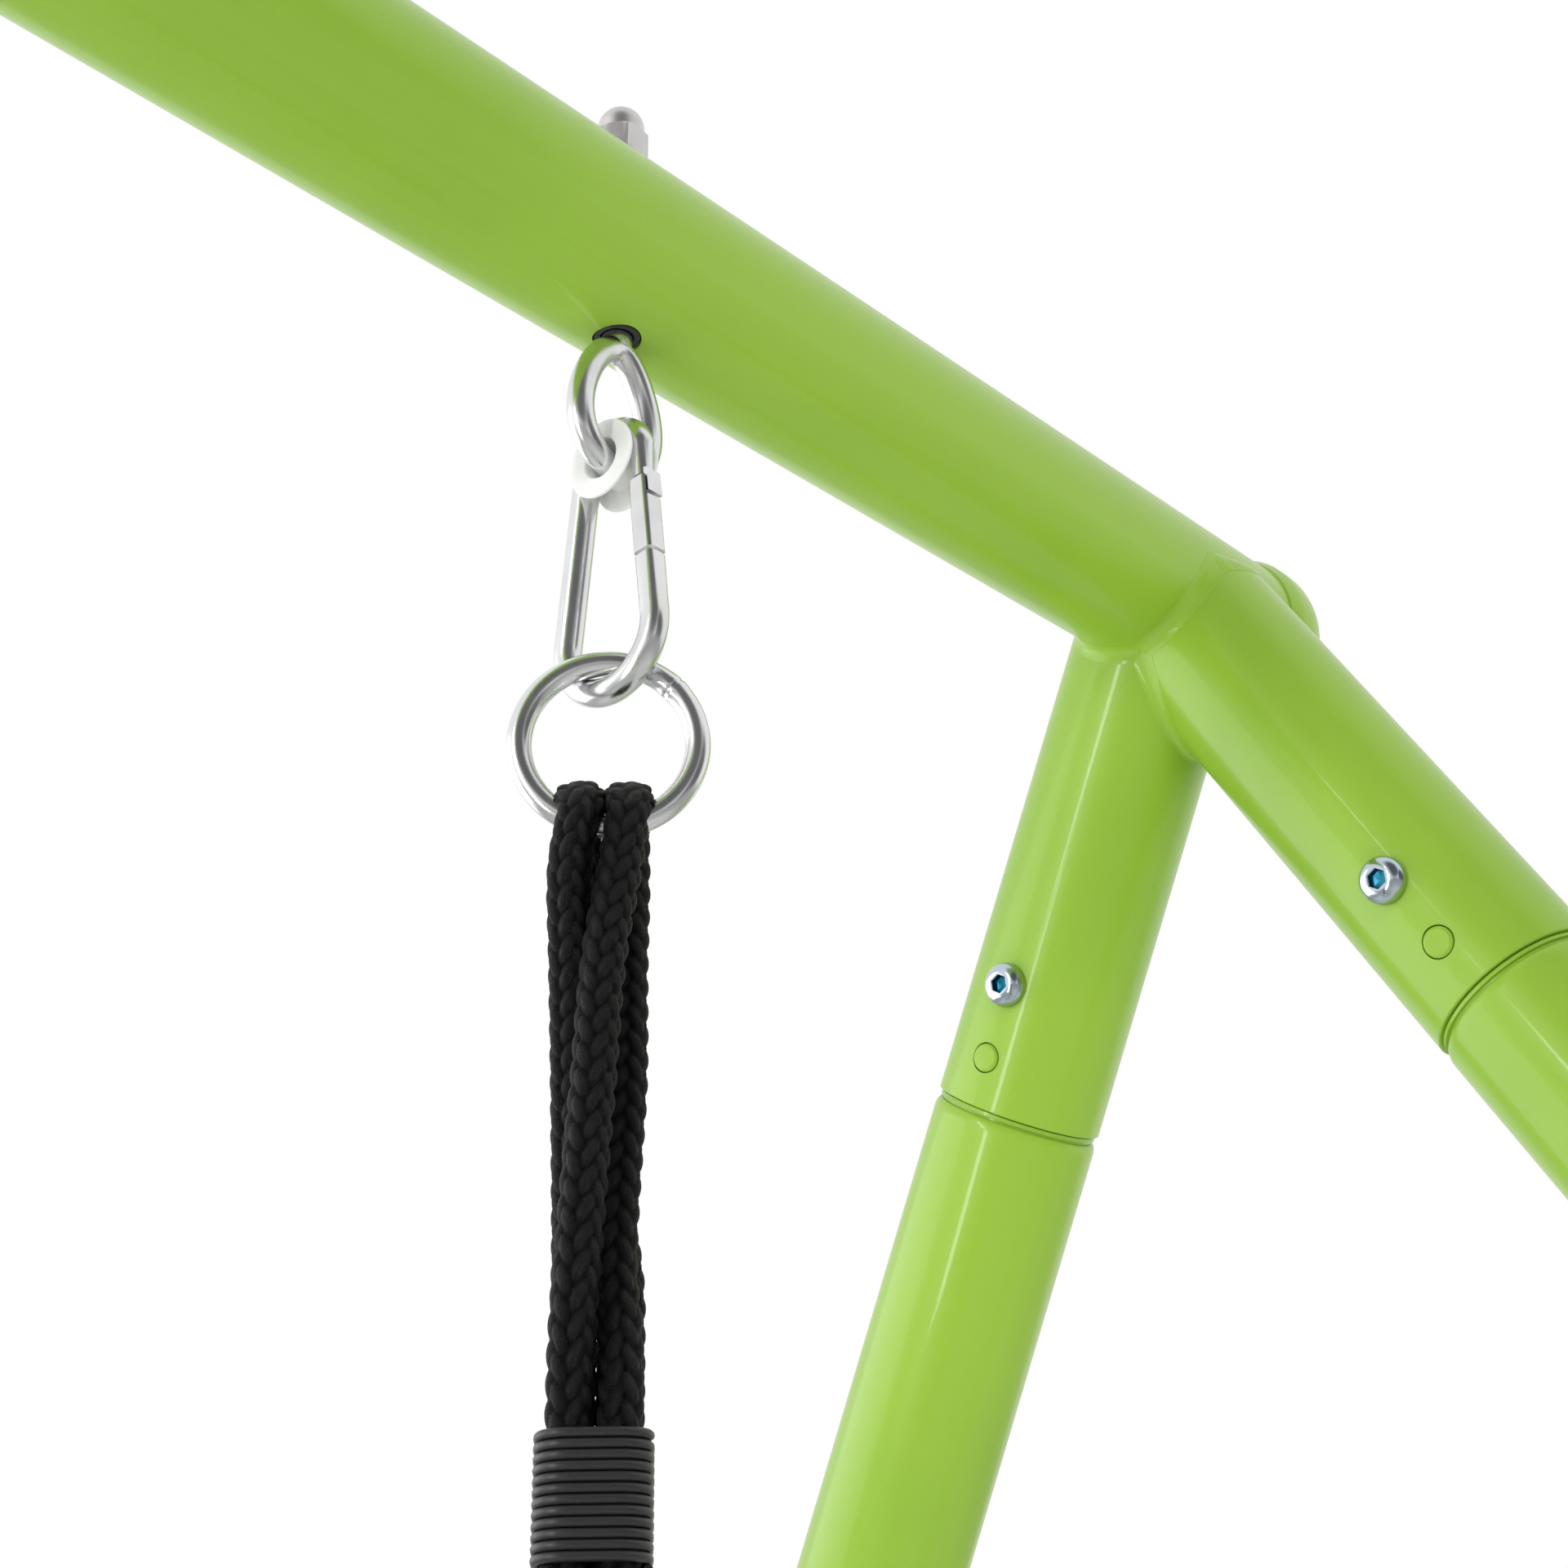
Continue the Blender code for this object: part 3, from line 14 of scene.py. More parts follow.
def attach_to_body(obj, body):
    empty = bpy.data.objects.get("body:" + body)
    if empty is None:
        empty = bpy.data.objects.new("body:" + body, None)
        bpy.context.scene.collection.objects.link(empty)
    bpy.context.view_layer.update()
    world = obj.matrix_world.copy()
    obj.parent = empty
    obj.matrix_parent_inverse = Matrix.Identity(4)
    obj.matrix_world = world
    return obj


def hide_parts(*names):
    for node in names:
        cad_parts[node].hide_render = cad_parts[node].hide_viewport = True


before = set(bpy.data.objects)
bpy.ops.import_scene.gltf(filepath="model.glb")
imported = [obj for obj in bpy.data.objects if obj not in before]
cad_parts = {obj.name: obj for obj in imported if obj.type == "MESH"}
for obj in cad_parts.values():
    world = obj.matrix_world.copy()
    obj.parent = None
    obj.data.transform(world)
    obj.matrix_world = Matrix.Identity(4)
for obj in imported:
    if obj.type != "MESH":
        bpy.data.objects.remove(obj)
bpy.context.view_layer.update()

bl_info = {
    "name": "Nest Swing Set",
    "version": (1, 0, 0),
    "blender": (4, 5, 0),
    "location": "3D View > Sidebar > Swing",
    "description": "Fine meshes, finishes, light and camera for a nest swing set",
    "category": "Object",
}

# Sizes that the solids have too, in metres

CLEARANCE = 0.0003
BEAM_HEIGHT = 1.90
BEAM_R = 0.0254
BEAM_WALL = 0.0018
CORNER_X = 0.85
BEAM_END = 0.040
CAP_WALL = 0.0018
CAP_GRIP = 0.009
CAP_DOME = 0.024
LEG_R = 0.0264
LEG_WALL = 0.0018
LEG_OUT_SLOPE = 0.1335
LEG_SPREAD_SLOPE = 0.579
LEG_SLANT = math.sqrt(1 + LEG_OUT_SLOPE**2 + LEG_SPREAD_SLOPE**2)
SOCKET_TOP = BEAM_R / 2
SOCKET_END = 0.1727
SOCKET_SCREW_AT = 0.1332
SOCKET_BUTTON_AT = 0.1571
FIXING_TURN = math.radians(4.9)
SWAGE_LENGTH = 0.075
SWAGE_NECK = 0.0025
SWAGE_SHOULDER = 0.0035
MID_JOINT_AT = 1.15
LEG_END = (BEAM_HEIGHT - 0.024) * LEG_SLANT
FOOT_WALL = 0.0036
FOOT_GRIP = 0.070
CROSSBAR_R = 0.015
CROSSBAR_WALL = 0.0016
CROSSBAR_BOLT_AT = MID_JOINT_AT - 0.036
CROSSBAR_TAB = 0.0060
CROSSBAR_TAB_WIDTH = 0.040
CROSSBAR_TAB_REACH = 0.026
CROSSBAR_TAPER = 0.050
SCREW_R = 0.004
SCREW_HEAD_R = 0.0070
SCREW_HEAD_H = 0.0044
SCREW_SOCKET_AF = 0.0050
SCREW_SOCKET_DEPTH = 0.0028
BUTTON_R = 0.0045
BUTTON_PROUD = 0.0006
HOLE_SLACK = 0.0004
EYE_X = CORNER_X - 0.2547
EYE_WIRE = 0.0070
EYE_NECK_DROP = 0.0286
EYE_BOTTOM_DROP = 0.06315
EYE_HALF_WIDTH = 0.01165
EYE_TAPER = 0.25
SHANK_R = 0.004
LINER_R = 0.0060
LINER_HEAD_R = 0.0090
LINER_HEAD_H = 0.0016
NUT_AF = 0.013
NUT_HEX_H = 0.0115
NUT_DOME_R = 0.0062
NUT_H = 0.0200
SHANK_IN_NUT = 0.014
BUSH_BORE_R = 0.0045
BUSH_DROP = 0.0625
BUSH_CORE_R = 0.0053
BUSH_GROOVE = 0.0080
BUSH_FLANGE = 0.0010
BUSH_FLANGE_R = 0.0105
HOOK_WIRE = 0.0070
HOOK_TOP_R = 0.0092
HOOK_BOTTOM_DROP = 0.1242
HOOK_BOTTOM_R = 0.0145
HOOK_NOSE_DROP = 0.0705
HOOK_PIN_DROP = 0.0895
GATE_SIDE = 0.0064
GATE_GAP = 0.0005
RING_WIRE = 0.0060
RING_MEAN_R = 0.02075
RING_DROP = HOOK_BOTTOM_DROP - HOOK_WIRE / 2 - RING_WIRE / 2 - 0.00045 + RING_MEAN_R
RING_TURN = math.radians(44.4)
ROPE_D = 0.0096
ROPE_LOOP_APART = 0.0122
ROPE_BEND_R = RING_WIRE / 2 + ROPE_D / 2 + CLEARANCE
BINDING_TOP = 0.292
BINDING_LENGTH = 0.028
BINDING_HALF = 0.0050
SEAT_HEIGHT = 0.42
SEAT_RING_R = 0.50
SEAT_TUBE_R = 0.014
COVER_R = 0.031
COVER_PINCH_R = 0.0205
ATTACH_ANGLE = 40
PINCH_FLAT = 2.0
SLIT_SLOPE = math.radians(15)
CLAMP_UP = 0.082
CLAMP_LENGTH = 0.030
CLAMP_WALL = 0.0028
CLAMP_HALF = 0.0052
ROPE_BUTT_GAP = 0.001
NET_STRAND = 0.0085
NET_THICK = 0.0062
NET_SAG = 0.060
NET_RADIALS = 16
NET_RING_RADII = (0.395, 0.310, 0.225, 0.140)
NET_CENTRE_R = 0.045

ROOT = "frame"
SWING = "swing"
SIDES = ((-1, "left"), (1, "right"))
ENDS = ((-1, "front"), (1, "rear"))

# The photograph's camera, solved from the edges of the tubes: its turns in degrees, the rest in its pixels

PHOTO_SIDE = 1920
CAMERA_PLACE = (0.2379, -0.3633, 1.5255)
CAMERA_TURNS = (44.4125, 27.0286, 0.6835)
CAMERA_FOCAL = 2963.74
CAMERA_CENTRE = (796.10, 801.37)
SENSOR_WIDTH = 36

# Light: (name, place, point it looks at, width, height, power, whether glossy faces show it)

LAMPS = (
    ("key", (-1.2, -1.9, 3.3), (0.75, 0, 1.8), 1.6, 1.6, 33, False),
    ("fill", (2.6, -2.2, 1.3), (0.75, 0, 1.8), 1.8, 1.8, 24, False),
    ("low", (0.2, 0.1, 0.12), (0.2, 0.1, 1.8), 1.4, 1.4, 13, False),
    ("strip", (-1.10, 0.20, 1.75), (0.93, 0.12, 1.75), 0.15, 1.6, 13, True),
    ("side", (-0.15, 1.90, 1.75), (0.93, 0.12, 1.75), 2.3, 1.8, 21, True),
)
EVEN_LIGHT = 0.50
DARK_BEHIND = (-0.62, -0.60, 0.50)
DARK_BESIDE = (0.15, -0.98, 0.10)
DARK_SHARE = 0.86
FLOOR_HALF = 14.0

# How finely things are drawn. A rope has (step above ROPE_FINE_ABOVE, step below it, sides); the right
# hanger is the one in the photograph.

ROPE_DRAWN = {1: (0.0006, 0.0027, 64), -1: (0.0015, 0.0018, 40)}
ROPE_FINE_ABOVE = 1.53
ROPE_LINE_STEP = 0.0003
WELD_RIPPLE_STEP = 0.0019
WELD_WANDER = 0.0007
SCREW_FLAT = SCREW_HEAD_R * 0.47
SCREW_PAST_WALL = 0.008
BUTTON_FLANGE_R = 0.0058
RING_SEAM_AT = math.radians(44)
COVER_PARTS = 720
COVER_SIDES = 44
COVER_INSIDE = 8
COVER_LIP = 0.0054
NET_WAVE = 0.0009
NET_CENTRE_RINGS = 6
STITCH_LEAN = math.radians(27)


# Nodes


class Wire:
    """One output of a node. Sums written with it add Math nodes."""

    def __init__(self, graph, socket):
        self.graph = graph
        self.socket = socket

    def maths(self, operation, *values):
        return self.graph.node("ShaderNodeMath", {"operation": operation}, *values)

    def __add__(self, other):
        return self.maths("ADD", self, other)

    def __radd__(self, other):
        return self.maths("ADD", other, self)

    def __sub__(self, other):
        return self.maths("SUBTRACT", self, other)

    def __rsub__(self, other):
        return self.maths("SUBTRACT", other, self)

    def __mul__(self, other):
        return self.maths("MULTIPLY", self, other)

    def __truediv__(self, other):
        return self.maths("DIVIDE", self, other)

    def sine(self):
        return self.maths("SINE", self)

    def between(self, low, high):
        """0 below low, 1 above high, and an eased rise from one to the other."""
        eased_range = {"interpolation_type": "SMOOTHSTEP"}
        return self.graph.node("ShaderNodeMapRange", eased_range, self, low, high, 0.0, 1.0)


class Graph:
    """A node tree, whose nodes are all made by one method."""

    def __init__(self, tree):
        self.tree = tree

    def node(self, kind, settings=None, *values, out=0, **named):
        made = self.tree.nodes.new(kind)
        for key, value in (settings or {}).items():
            setattr(made, key, value)
        for socket, value in zip(made.inputs, values):
            self.feed(socket, value)
        for key, value in named.items():
            self.feed(made.inputs[key.replace("_", " ")], value)
        return Wire(self, made.outputs[out])

    def feed(self, socket, value):
        if isinstance(value, Wire):
            self.tree.links.new(value.socket, socket)
        else:
            socket.default_value = value

    def mix(self, share, first, second):
        """A colour between two colours."""
        mixed = self.tree.nodes.new("ShaderNodeMix")
        mixed.data_type = "RGBA"
        for index, value in ((0, share), (6, first), (7, second)):
            self.feed(mixed.inputs[index], value)
        return Wire(self, mixed.outputs[2])

    def dot(self, first, second):
        return self.node("ShaderNodeVectorMath", {"operation": "DOT_PRODUCT"}, first, second, out="Value")

    def scaled(self, vector, factors):
        return self.node("ShaderNodeVectorMath", {"operation": "MULTIPLY"}, vector, factors)

    def noise(self, place, scale, detail=2.0, roughness=0.5):
        given = {"Vector": place, "Scale": scale, "Detail": detail, "Roughness": roughness}
        return self.node("ShaderNodeTexNoise", None, **given)


class Finish:
    """A material on one Principled shader: fixed values on its sockets, and what varies through links."""

    def __init__(self, name, **fixed):
        self.made = bpy.data.materials.new(name)
        self.made.use_nodes = True
        self.graph = Graph(self.made.node_tree)
        self.shader = self.made.node_tree.nodes["Principled BSDF"]
        self.place = self.graph.node("ShaderNodeTexCoord", out="Object")
        self.set(**fixed)

    def set(self, **values):
        for key, value in values.items():
            self.graph.feed(self.shader.inputs[key.replace("_", " ")], value)

    def bump(self, height, depth, strength=1.0):
        """Raises the surface by height, 0 to 1, times depth in metres."""
        bump = self.graph.node("ShaderNodeBump", None, Strength=strength, Distance=depth, Height=height)
        self.set(Normal=bump)

    def uv(self, name):
        return self.graph.node("ShaderNodeUVMap", {"uv_map": name})


def shade(colour, factor):
    return (colour[0] * factor, colour[1] * factor, colour[2] * factor, 1.0)


def paint_finish(name, looks):
    """Glossy powder coat: a faint orange peel and slow drifts of colour."""
    base = tuple(looks.paint)
    finish = Finish(name, Coat_Weight=looks.paint_gloss, Coat_Roughness=0.08, Specular_IOR_Level=0.36)
    graph = finish.graph
    drift = graph.noise(finish.place, 7.0, 3.0).between(0.35, 0.65)
    speck = graph.noise(finish.place, 900.0, 1.0).between(0.62, 0.80)
    warm = (base[0] * 1.10, base[1] * 1.04, base[2] * 1.15, 1.0)
    colour = graph.mix(drift, shade(base, 0.95), warm)
    finish.set(Base_Color=graph.mix(speck * 0.10, colour, shade(base, 1.5)))
    peel = graph.noise(finish.place, 330.0, 2.0)
    finish.set(Roughness=0.30 + peel * 0.08)
    finish.bump(peel, 0.00004, 0.35)
    return finish.made


def bright_finish(name, base, low, high, tint=None):
    """Bright plating: polished, with a light haze, fine scratches and the odd darker patch."""
    finish = Finish(name, Metallic=1.0)
    graph = finish.graph
    haze = graph.noise(finish.place, 140.0, 4.0, 0.6)
    patch = graph.noise(finish.place, 45.0, 2.0).between(0.45, 0.75)
    scratch = graph.noise(graph.scaled(finish.place, (2600.0, 2600.0, 160.0)), 1.0, 2.0)
    finish.set(Base_Color=graph.mix(patch * 0.6, base, tint or shade(base, 0.80)))
    finish.set(Roughness=low + haze * (high - low) + scratch.between(0.55, 0.8) * 0.05)
    finish.bump(haze * 0.7 + scratch * 0.3, 0.00003, 0.30)
    return finish.made


def plastic_finish(name, base, roughness, grain, depth):
    """Moulded plastic or rubber: a fine grain, with a slightly uneven sheen."""
    finish = Finish(name)
    graph = finish.graph
    fine = graph.noise(finish.place, grain, 2.0)
    slow = graph.noise(finish.place, 30.0, 2.0)
    finish.set(Base_Color=graph.mix(slow, shade(base, 0.85), shade(base, 1.25)))
    finish.set(Roughness=roughness - 0.08 + fine * 0.16)
    finish.bump(fine, depth, 0.5)
    return finish.made


def nylon_finish(name):
    """Milky nylon that lets some light through."""
    depth = (0.004, 0.004, 0.004)
    finish = Finish(name, Subsurface_Weight=0.6, Subsurface_Radius=depth, Subsurface_Scale=1.0)
    graph = finish.graph
    cloud = graph.noise(finish.place, 260.0, 3.0)
    finish.set(Base_Color=graph.mix(cloud, (0.80, 0.80, 0.79, 1.0), (0.93, 0.93, 0.92, 1.0)))
    finish.set(Roughness=0.28 + cloud * 0.16)
    finish.bump(cloud, 0.00005, 0.4)
    return finish.made


def braid_finish(name, looks):
    """Black braided fibre, with yarns that follow the stitch: its map is across and along it, in mm. Its
    colour carries painted shade in the gaps between stitches and painted sheen on the yarns of the crowns.
    """
    base = tuple(looks.rope_black)
    finish = Finish(name, Specular_IOR_Level=0.27)
    graph = finish.graph
    across = finish.uv("stitch")
    yarn = graph.noise(graph.scaled(across, (4.5, 0.40, 1.0)), 1.0, 2.0, 0.6)
    hair = graph.noise(graph.scaled(across, (13.0, 1.1, 1.0)), 1.0, 1.0, 0.5)
    depth = graph.node("ShaderNodeAttribute", {"attribute_name": "crown"}, out="Fac")
    fibre = yarn.between(0.42, 0.66) * 0.7 + hair.between(0.52, 0.75) * 0.3
    # Painted sheen as well as the yarns' own tone: the yarn noise lightens the crowns up to nearly four times
    # the base.
    lit = graph.mix(fibre, shade(base, 0.5), shade(base, 3.8))
    # Painted shade: where the crown is low, in the gaps between stitches, the colour drops to 0.06 of the
    # base.
    finish.set(Base_Color=graph.mix(depth.between(0.30, 0.95), shade(base, 0.06), lit))
    glint = hair.between(0.58, 0.72) * depth.between(0.6, 1.0)
    finish.set(Roughness=0.56 - glint * 0.36)
    finish.bump(yarn * 0.65 + hair * 0.35, 0.0013, 1.0)
    return finish.made


def canvas_finish(name, looks):
    """Woven cover cloth: over and under threads from its own map, which is in metres. The hollows of the
    weave get painted shade.
    """
    base = tuple(looks.cover_green)
    finish = Finish(name, Sheen_Weight=0.35, Sheen_Roughness=0.5)
    graph = finish.graph
    threads = graph.scaled(finish.uv("cloth"), (3600.0, 3600.0, 1.0))
    parts = graph.node("ShaderNodeSeparateXYZ", None, threads)
    warp = parts.sine()
    weft = Wire(graph, parts.socket.node.outputs[1]).sine()
    weave = (warp * weft) * 0.5 + 0.5
    fuzz = graph.noise(finish.place, 1400.0, 3.0)
    slow = graph.noise(finish.place, 11.0, 3.0)
    worn = graph.mix(slow.between(0.3, 0.7), shade(base, 0.86), shade(base, 1.12))
    # Painted shade: the colour darkens to 0.72 of the base where the weave and fuzz bump is low.
    finish.set(Base_Color=graph.mix(weave * 0.5 + fuzz * 0.3, shade(base, 0.72), worn))
    finish.set(Roughness=0.72 + fuzz * 0.2)
    finish.bump(weave * 0.7 + fuzz * 0.3, 0.00025, 0.7)
    return finish.made


def floor_finish(name):
    """Pale studio floor with a barely seen mottle."""
    finish = Finish(name)
    graph = finish.graph
    mottle = graph.noise(finish.place, 2.5, 4.0)
    finish.set(Base_Color=graph.mix(mottle, (0.80, 0.80, 0.79, 1.0), (0.86, 0.86, 0.85, 1.0)))
    finish.set(Roughness=0.75 + mottle * 0.1)
    return finish.made


CHROME_GREY = (0.76, 0.76, 0.77, 1.0)
BLUE_ZINC = (0.53, 0.60, 0.68, 1.0)
PALE_ZINC = (0.66, 0.65, 0.64, 1.0)
# The key hole's blue zinc tint, darkened with painted shade for its recess; the patch colour is a lighter
# painted shade, laid on in random patches.
KEY_HOLE_SHADED_TEAL = (0.01, 0.16, 0.26, 1.0)
KEY_HOLE_SHADED_PATCH = (0.08, 0.34, 0.45, 1.0)
SPRING_GREY = (0.42, 0.43, 0.45, 1.0)
PLASTIC_BLACK = (0.018, 0.018, 0.019, 1.0)
RUBBER_BLACK = (0.022, 0.022, 0.023, 1.0)

FINISHES = {
    "paint": lambda looks: paint_finish("frame_paint", looks),
    "chrome": lambda looks: bright_finish("bright_plating", CHROME_GREY, 0.14, 0.30),
    "zinc": lambda looks: bright_finish("blue_zinc", BLUE_ZINC, 0.10, 0.22),
    "nut": lambda looks: bright_finish("pale_zinc", PALE_ZINC, 0.34, 0.48),
    # The key hole's colours are painted shade over the zinc's blue tint.
    "recess": lambda looks: bright_finish("key_hole_zinc", KEY_HOLE_SHADED_TEAL, 0.25, 0.40, KEY_HOLE_SHADED_PATCH),
    "spring": lambda looks: bright_finish("spring_steel", SPRING_GREY, 0.20, 0.35),
    "plastic": lambda looks: plastic_finish("black_plastic", PLASTIC_BLACK, 0.42, 900.0, 0.00004),
    "rubber": lambda looks: plastic_finish("black_rubber", RUBBER_BLACK, 0.62, 700.0, 0.00008),
    "nylon": lambda looks: nylon_finish("milky_nylon"),
    "braid": lambda looks: braid_finish("black_braid", looks),
    "canvas": lambda looks: canvas_finish("cover_canvas", looks),
    "floor": lambda looks: floor_finish("studio_floor"),
}
ready = {}


def finish_of(key):
    """The finish of this key, made when it is first asked for."""
    if key not in ready:
        ready[key] = FINISHES[key](bpy.context.scene.swing_looks)
    return ready[key]


# Forms


def joined(name, mesh):
    made = bpy.data.objects.new(name, mesh)
    bpy.context.scene.collection.objects.link(made)
    return made


def hung_on(piece, body, nodes=(), finish=None):
    """Puts a finished piece on its CAD body, in place of these nodes."""
    if finish:
        looks = [face.material_index for face in piece.data.polygons]
        piece.data.materials.clear()
        for key in (finish,) if isinstance(finish, str) else finish:
            piece.data.materials.append(finish_of(key))
        if not isinstance(finish, str):
            piece.data.polygons.foreach_set("material_index", looks)
    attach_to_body(piece, body)
    if nodes:
        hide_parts(*nodes)


def angles_round(count, start=0.0):
    """Angles evenly round a circle. start is a share of one step."""
    return [2 * math.pi * (i + start) / count for i in range(count)]


def circle(radius, height, sides, matrix):
    """Points evenly round the matrix's Z."""
    spots = angles_round(sides)
    return [matrix @ Vector((radius * math.cos(a), radius * math.sin(a), height)) for a in spots]


def soft_step(share):
    """An eased rise from 0 to 1."""
    return share * share * (3 - 2 * share)


class Form:
    """Gathers closed shapes into one mesh."""

    def __init__(self):
        self.points = []
        self.faces = []
        self.looks = []

    def rings(self, rings, closed=False, look=0):
        """Skins rings of points, each of the same count or a single tip. An open run gets end caps."""
        starts = []
        for ring in rings:
            starts.append((len(self.points), len(ring)))
            self.points += [tuple(point) for point in ring]
        pairs = list(zip(starts, starts[1:]))
        if closed:
            pairs.append((starts[-1], starts[0]))
        for (first, first_count), (second, second_count) in pairs:
            count = max(first_count, second_count)
            for i in range(count if count > 1 else 0):
                j = (i + 1) % count
                corners = [
                    first + i % first_count,
                    first + j % first_count,
                    second + j % second_count,
                    second + i % second_count,
                ]
                self.faces.append(list(dict.fromkeys(corners)))
                self.looks.append(look)
        if not closed:
            for start, count in (starts[0], starts[-1]):
                if count > 1:
                    self.faces.append(list(range(start, start + count)))
                    self.looks.append(look)

    def turned(self, profile, sides, matrix, closed=True):
        """Turns (radius, height) points about the matrix's Z."""
        self.rings([circle(r, height, sides if r else 1, matrix) for r, height in profile], closed)

    def swept(self, path, radius, sides, up, cyclic=False, matrix=None, section=None):
        """A wire along a path. radius is one number or one for each point; section(angle, i) shapes it."""
        matrix = matrix or Matrix()
        rings = []
        for i, (point, across, normal) in enumerate(carried_frames(path, up, cyclic)):
            here = radius[i] if hasattr(radius, "__len__") else radius
            ring = []
            for angle in angles_round(sides, 0.5):
                reach = here * (section(angle, i) if section else 1.0)
                ring.append(matrix @ (point + reach * (math.cos(angle) * across + math.sin(angle) * normal)))
            rings.append(ring)
        self.rings(rings, cyclic)

    def piece(self, name, finish, body=None, nodes=(), slot=None, sharp=32):
        """The mesh object, with its faces outward and its round faces smooth."""
        mesh = bpy.data.meshes.new(name)
        mesh.from_pydata(self.points, [], self.faces)
        mesh.polygons.foreach_set("material_index", self.looks)
        bm = bmesh.new()
        bm.from_mesh(mesh)
        bmesh.ops.recalc_face_normals(bm, faces=bm.faces)
        bm.to_mesh(mesh)
        bm.free()
        mesh.shade_smooth()
        mesh.set_sharp_from_angle(angle=math.radians(sharp))
        made = joined(name, mesh)
        if body:
            hung_on(made, body, nodes, finish)
        return made


def carried_frames(path, up, cyclic=False):
    """(point, across, normal) along a path, with the normal carried on without twist."""
    count = len(path)
    normal = Vector(up)
    for i, point in enumerate(path):
        before = path[(i - 1) % count] if cyclic or i else point
        after = path[(i + 1) % count] if cyclic or i < count - 1 else point
        along = (after - before).normalized()
        normal = (normal - along * normal.dot(along)).normalized()
        yield point, normal.cross(along), normal


def eased(profile, radius, steps=3, closed=True):
    """The profile with its corners rounded, apart from those on the axis."""
    made = []
    count = len(profile)
    for i, corner in enumerate(profile):
        if corner[0] == 0 or (not closed and i in (0, count - 1)):
            made.append(corner)
            continue
        here = Vector(corner)
        before = Vector(profile[i - 1]) - here
        after = Vector(profile[(i + 1) % count]) - here
        start = here + before.normalized() * min(radius, before.length * 0.45)
        stop = here + after.normalized() * min(radius, after.length * 0.45)
        for k in range(steps + 1):
            t = k / steps
            made.append(tuple(start * (1 - t) ** 2 + here * 2 * t * (1 - t) + stop * t**2))
    return made


def arc(centre_y, centre_z, radius, start, end, steps):
    """Points on an arc in the YZ plane, angles in degrees from +Y towards +Z."""
    angles = [math.radians(start + (end - start) * i / steps) for i in range(steps + 1)]
    return [Vector((0, centre_y + radius * math.cos(a), centre_z + radius * math.sin(a))) for a in angles]


def plain_copy(thing, name):
    """A new object with the evaluated mesh of another, which is then removed."""
    bpy.context.view_layer.update()
    seen = thing.evaluated_get(bpy.context.evaluated_depsgraph_get())
    made = joined(name, bpy.data.meshes.new_from_object(seen))
    bpy.data.objects.remove(thing, do_unlink=True)
    return made


def cut(thing, tools, operation="DIFFERENCE"):
    """Joins or cuts with closed tools, and removes them."""
    for tool in tools:
        step = thing.modifiers.new(tool.name, "BOOLEAN")
        step.operation = operation
        step.solver = "MANIFOLD"
        step.object = tool
    made = plain_copy(thing, thing.name)
    for tool in tools:
        bpy.data.objects.remove(tool, do_unlink=True)
    return made


def rod(name, radius, low, high, sides, matrix):
    form = Form()
    form.turned([(0, low), (radius, low), (radius, high), (0, high)], sides, matrix, closed=False)
    return form.piece(name, None)


def round_normals(thing, barrels):
    """Gives faces that lie on one of the barrels, (origin, axis, radius), that barrel's exact normals."""
    mesh = thing.data
    normals = [None] * len(mesh.loops)
    for face in mesh.polygons:
        middle = face.center
        barrel = None
        for origin, axis, radius in barrels:
            out = (middle - origin) - axis * (middle - origin).dot(axis)
            if abs(out.length - radius) < 0.0004 and out.normalized().dot(face.normal) > 0.97:
                barrel = (origin, axis)
        for loop in face.loop_indices:
            if barrel is None:
                normals[loop] = face.normal.copy()
                continue
            point = mesh.vertices[mesh.loops[loop].vertex_index].co - barrel[0]
            normals[loop] = (point - barrel[1] * point.dot(barrel[1])).normalized()
    mesh.shade_smooth()
    mesh.normals_split_custom_set(normals)


# Geometry Nodes


class Recipe(Graph):
    """A Geometry Nodes tree with named inputs, which ends in Realize Instances and Set Material."""

    KINDS = {"size": "NodeSocketFloat", "count": "NodeSocketInt", "thing": "NodeSocketObject"}

    def __init__(self, name, **inputs):
        super().__init__(bpy.data.node_groups.new(name, "GeometryNodeTree"))
        face = self.tree.interface
        face.new_socket("Geometry", in_out="INPUT", socket_type="NodeSocketGeometry")
        face.new_socket("Geometry", in_out="OUTPUT", socket_type="NodeSocketGeometry")
        for key, kind in inputs.items():
            face.new_socket(key, in_out="INPUT", socket_type=self.KINDS[kind])
        face.new_socket("finish", in_out="INPUT", socket_type="NodeSocketMaterial")
        self.start = self.tree.nodes.new("NodeGroupInput")

    def given(self, name):
        return Wire(self, self.start.outputs[name])

    def attribute(self, name, kind="FLOAT"):
        return self.node("GeometryNodeInputNamedAttribute", {"data_type": kind}, name)

    def end(self, geometry, faces=True):
        """Ends the tree, with the finish on these faces."""
        real = self.node("GeometryNodeRealizeInstances", None, geometry)
        finish = self.given("finish")
        coated = self.node("GeometryNodeSetMaterial", None, real, Selection=faces, Material=finish)
        last = self.tree.nodes.new("NodeGroupOutput")
        self.feed(last.inputs[0], coated)

    def run(self, name, start, finish, **settings):
        """The tree's result on the start object, as a plain mesh."""
        step = start.modifiers.new(name, "NODES")
        step.node_group = self.tree
        settings["finish"] = finish_of(finish)
        for item in self.tree.interface.items_tree:
            if item.in_out == "INPUT" and item.name in settings:
                step[item.identifier] = settings[item.name]
        return plain_copy(start, name)


def path_object(name, path):
    """A mesh of points and edges for a tree to follow."""
    mesh = bpy.data.meshes.new(name)
    edges = [(i, i + 1) for i in range(len(path) - 1)]
    mesh.from_pydata([tuple(point) for point in path], edges, [])
    return joined(name, mesh)


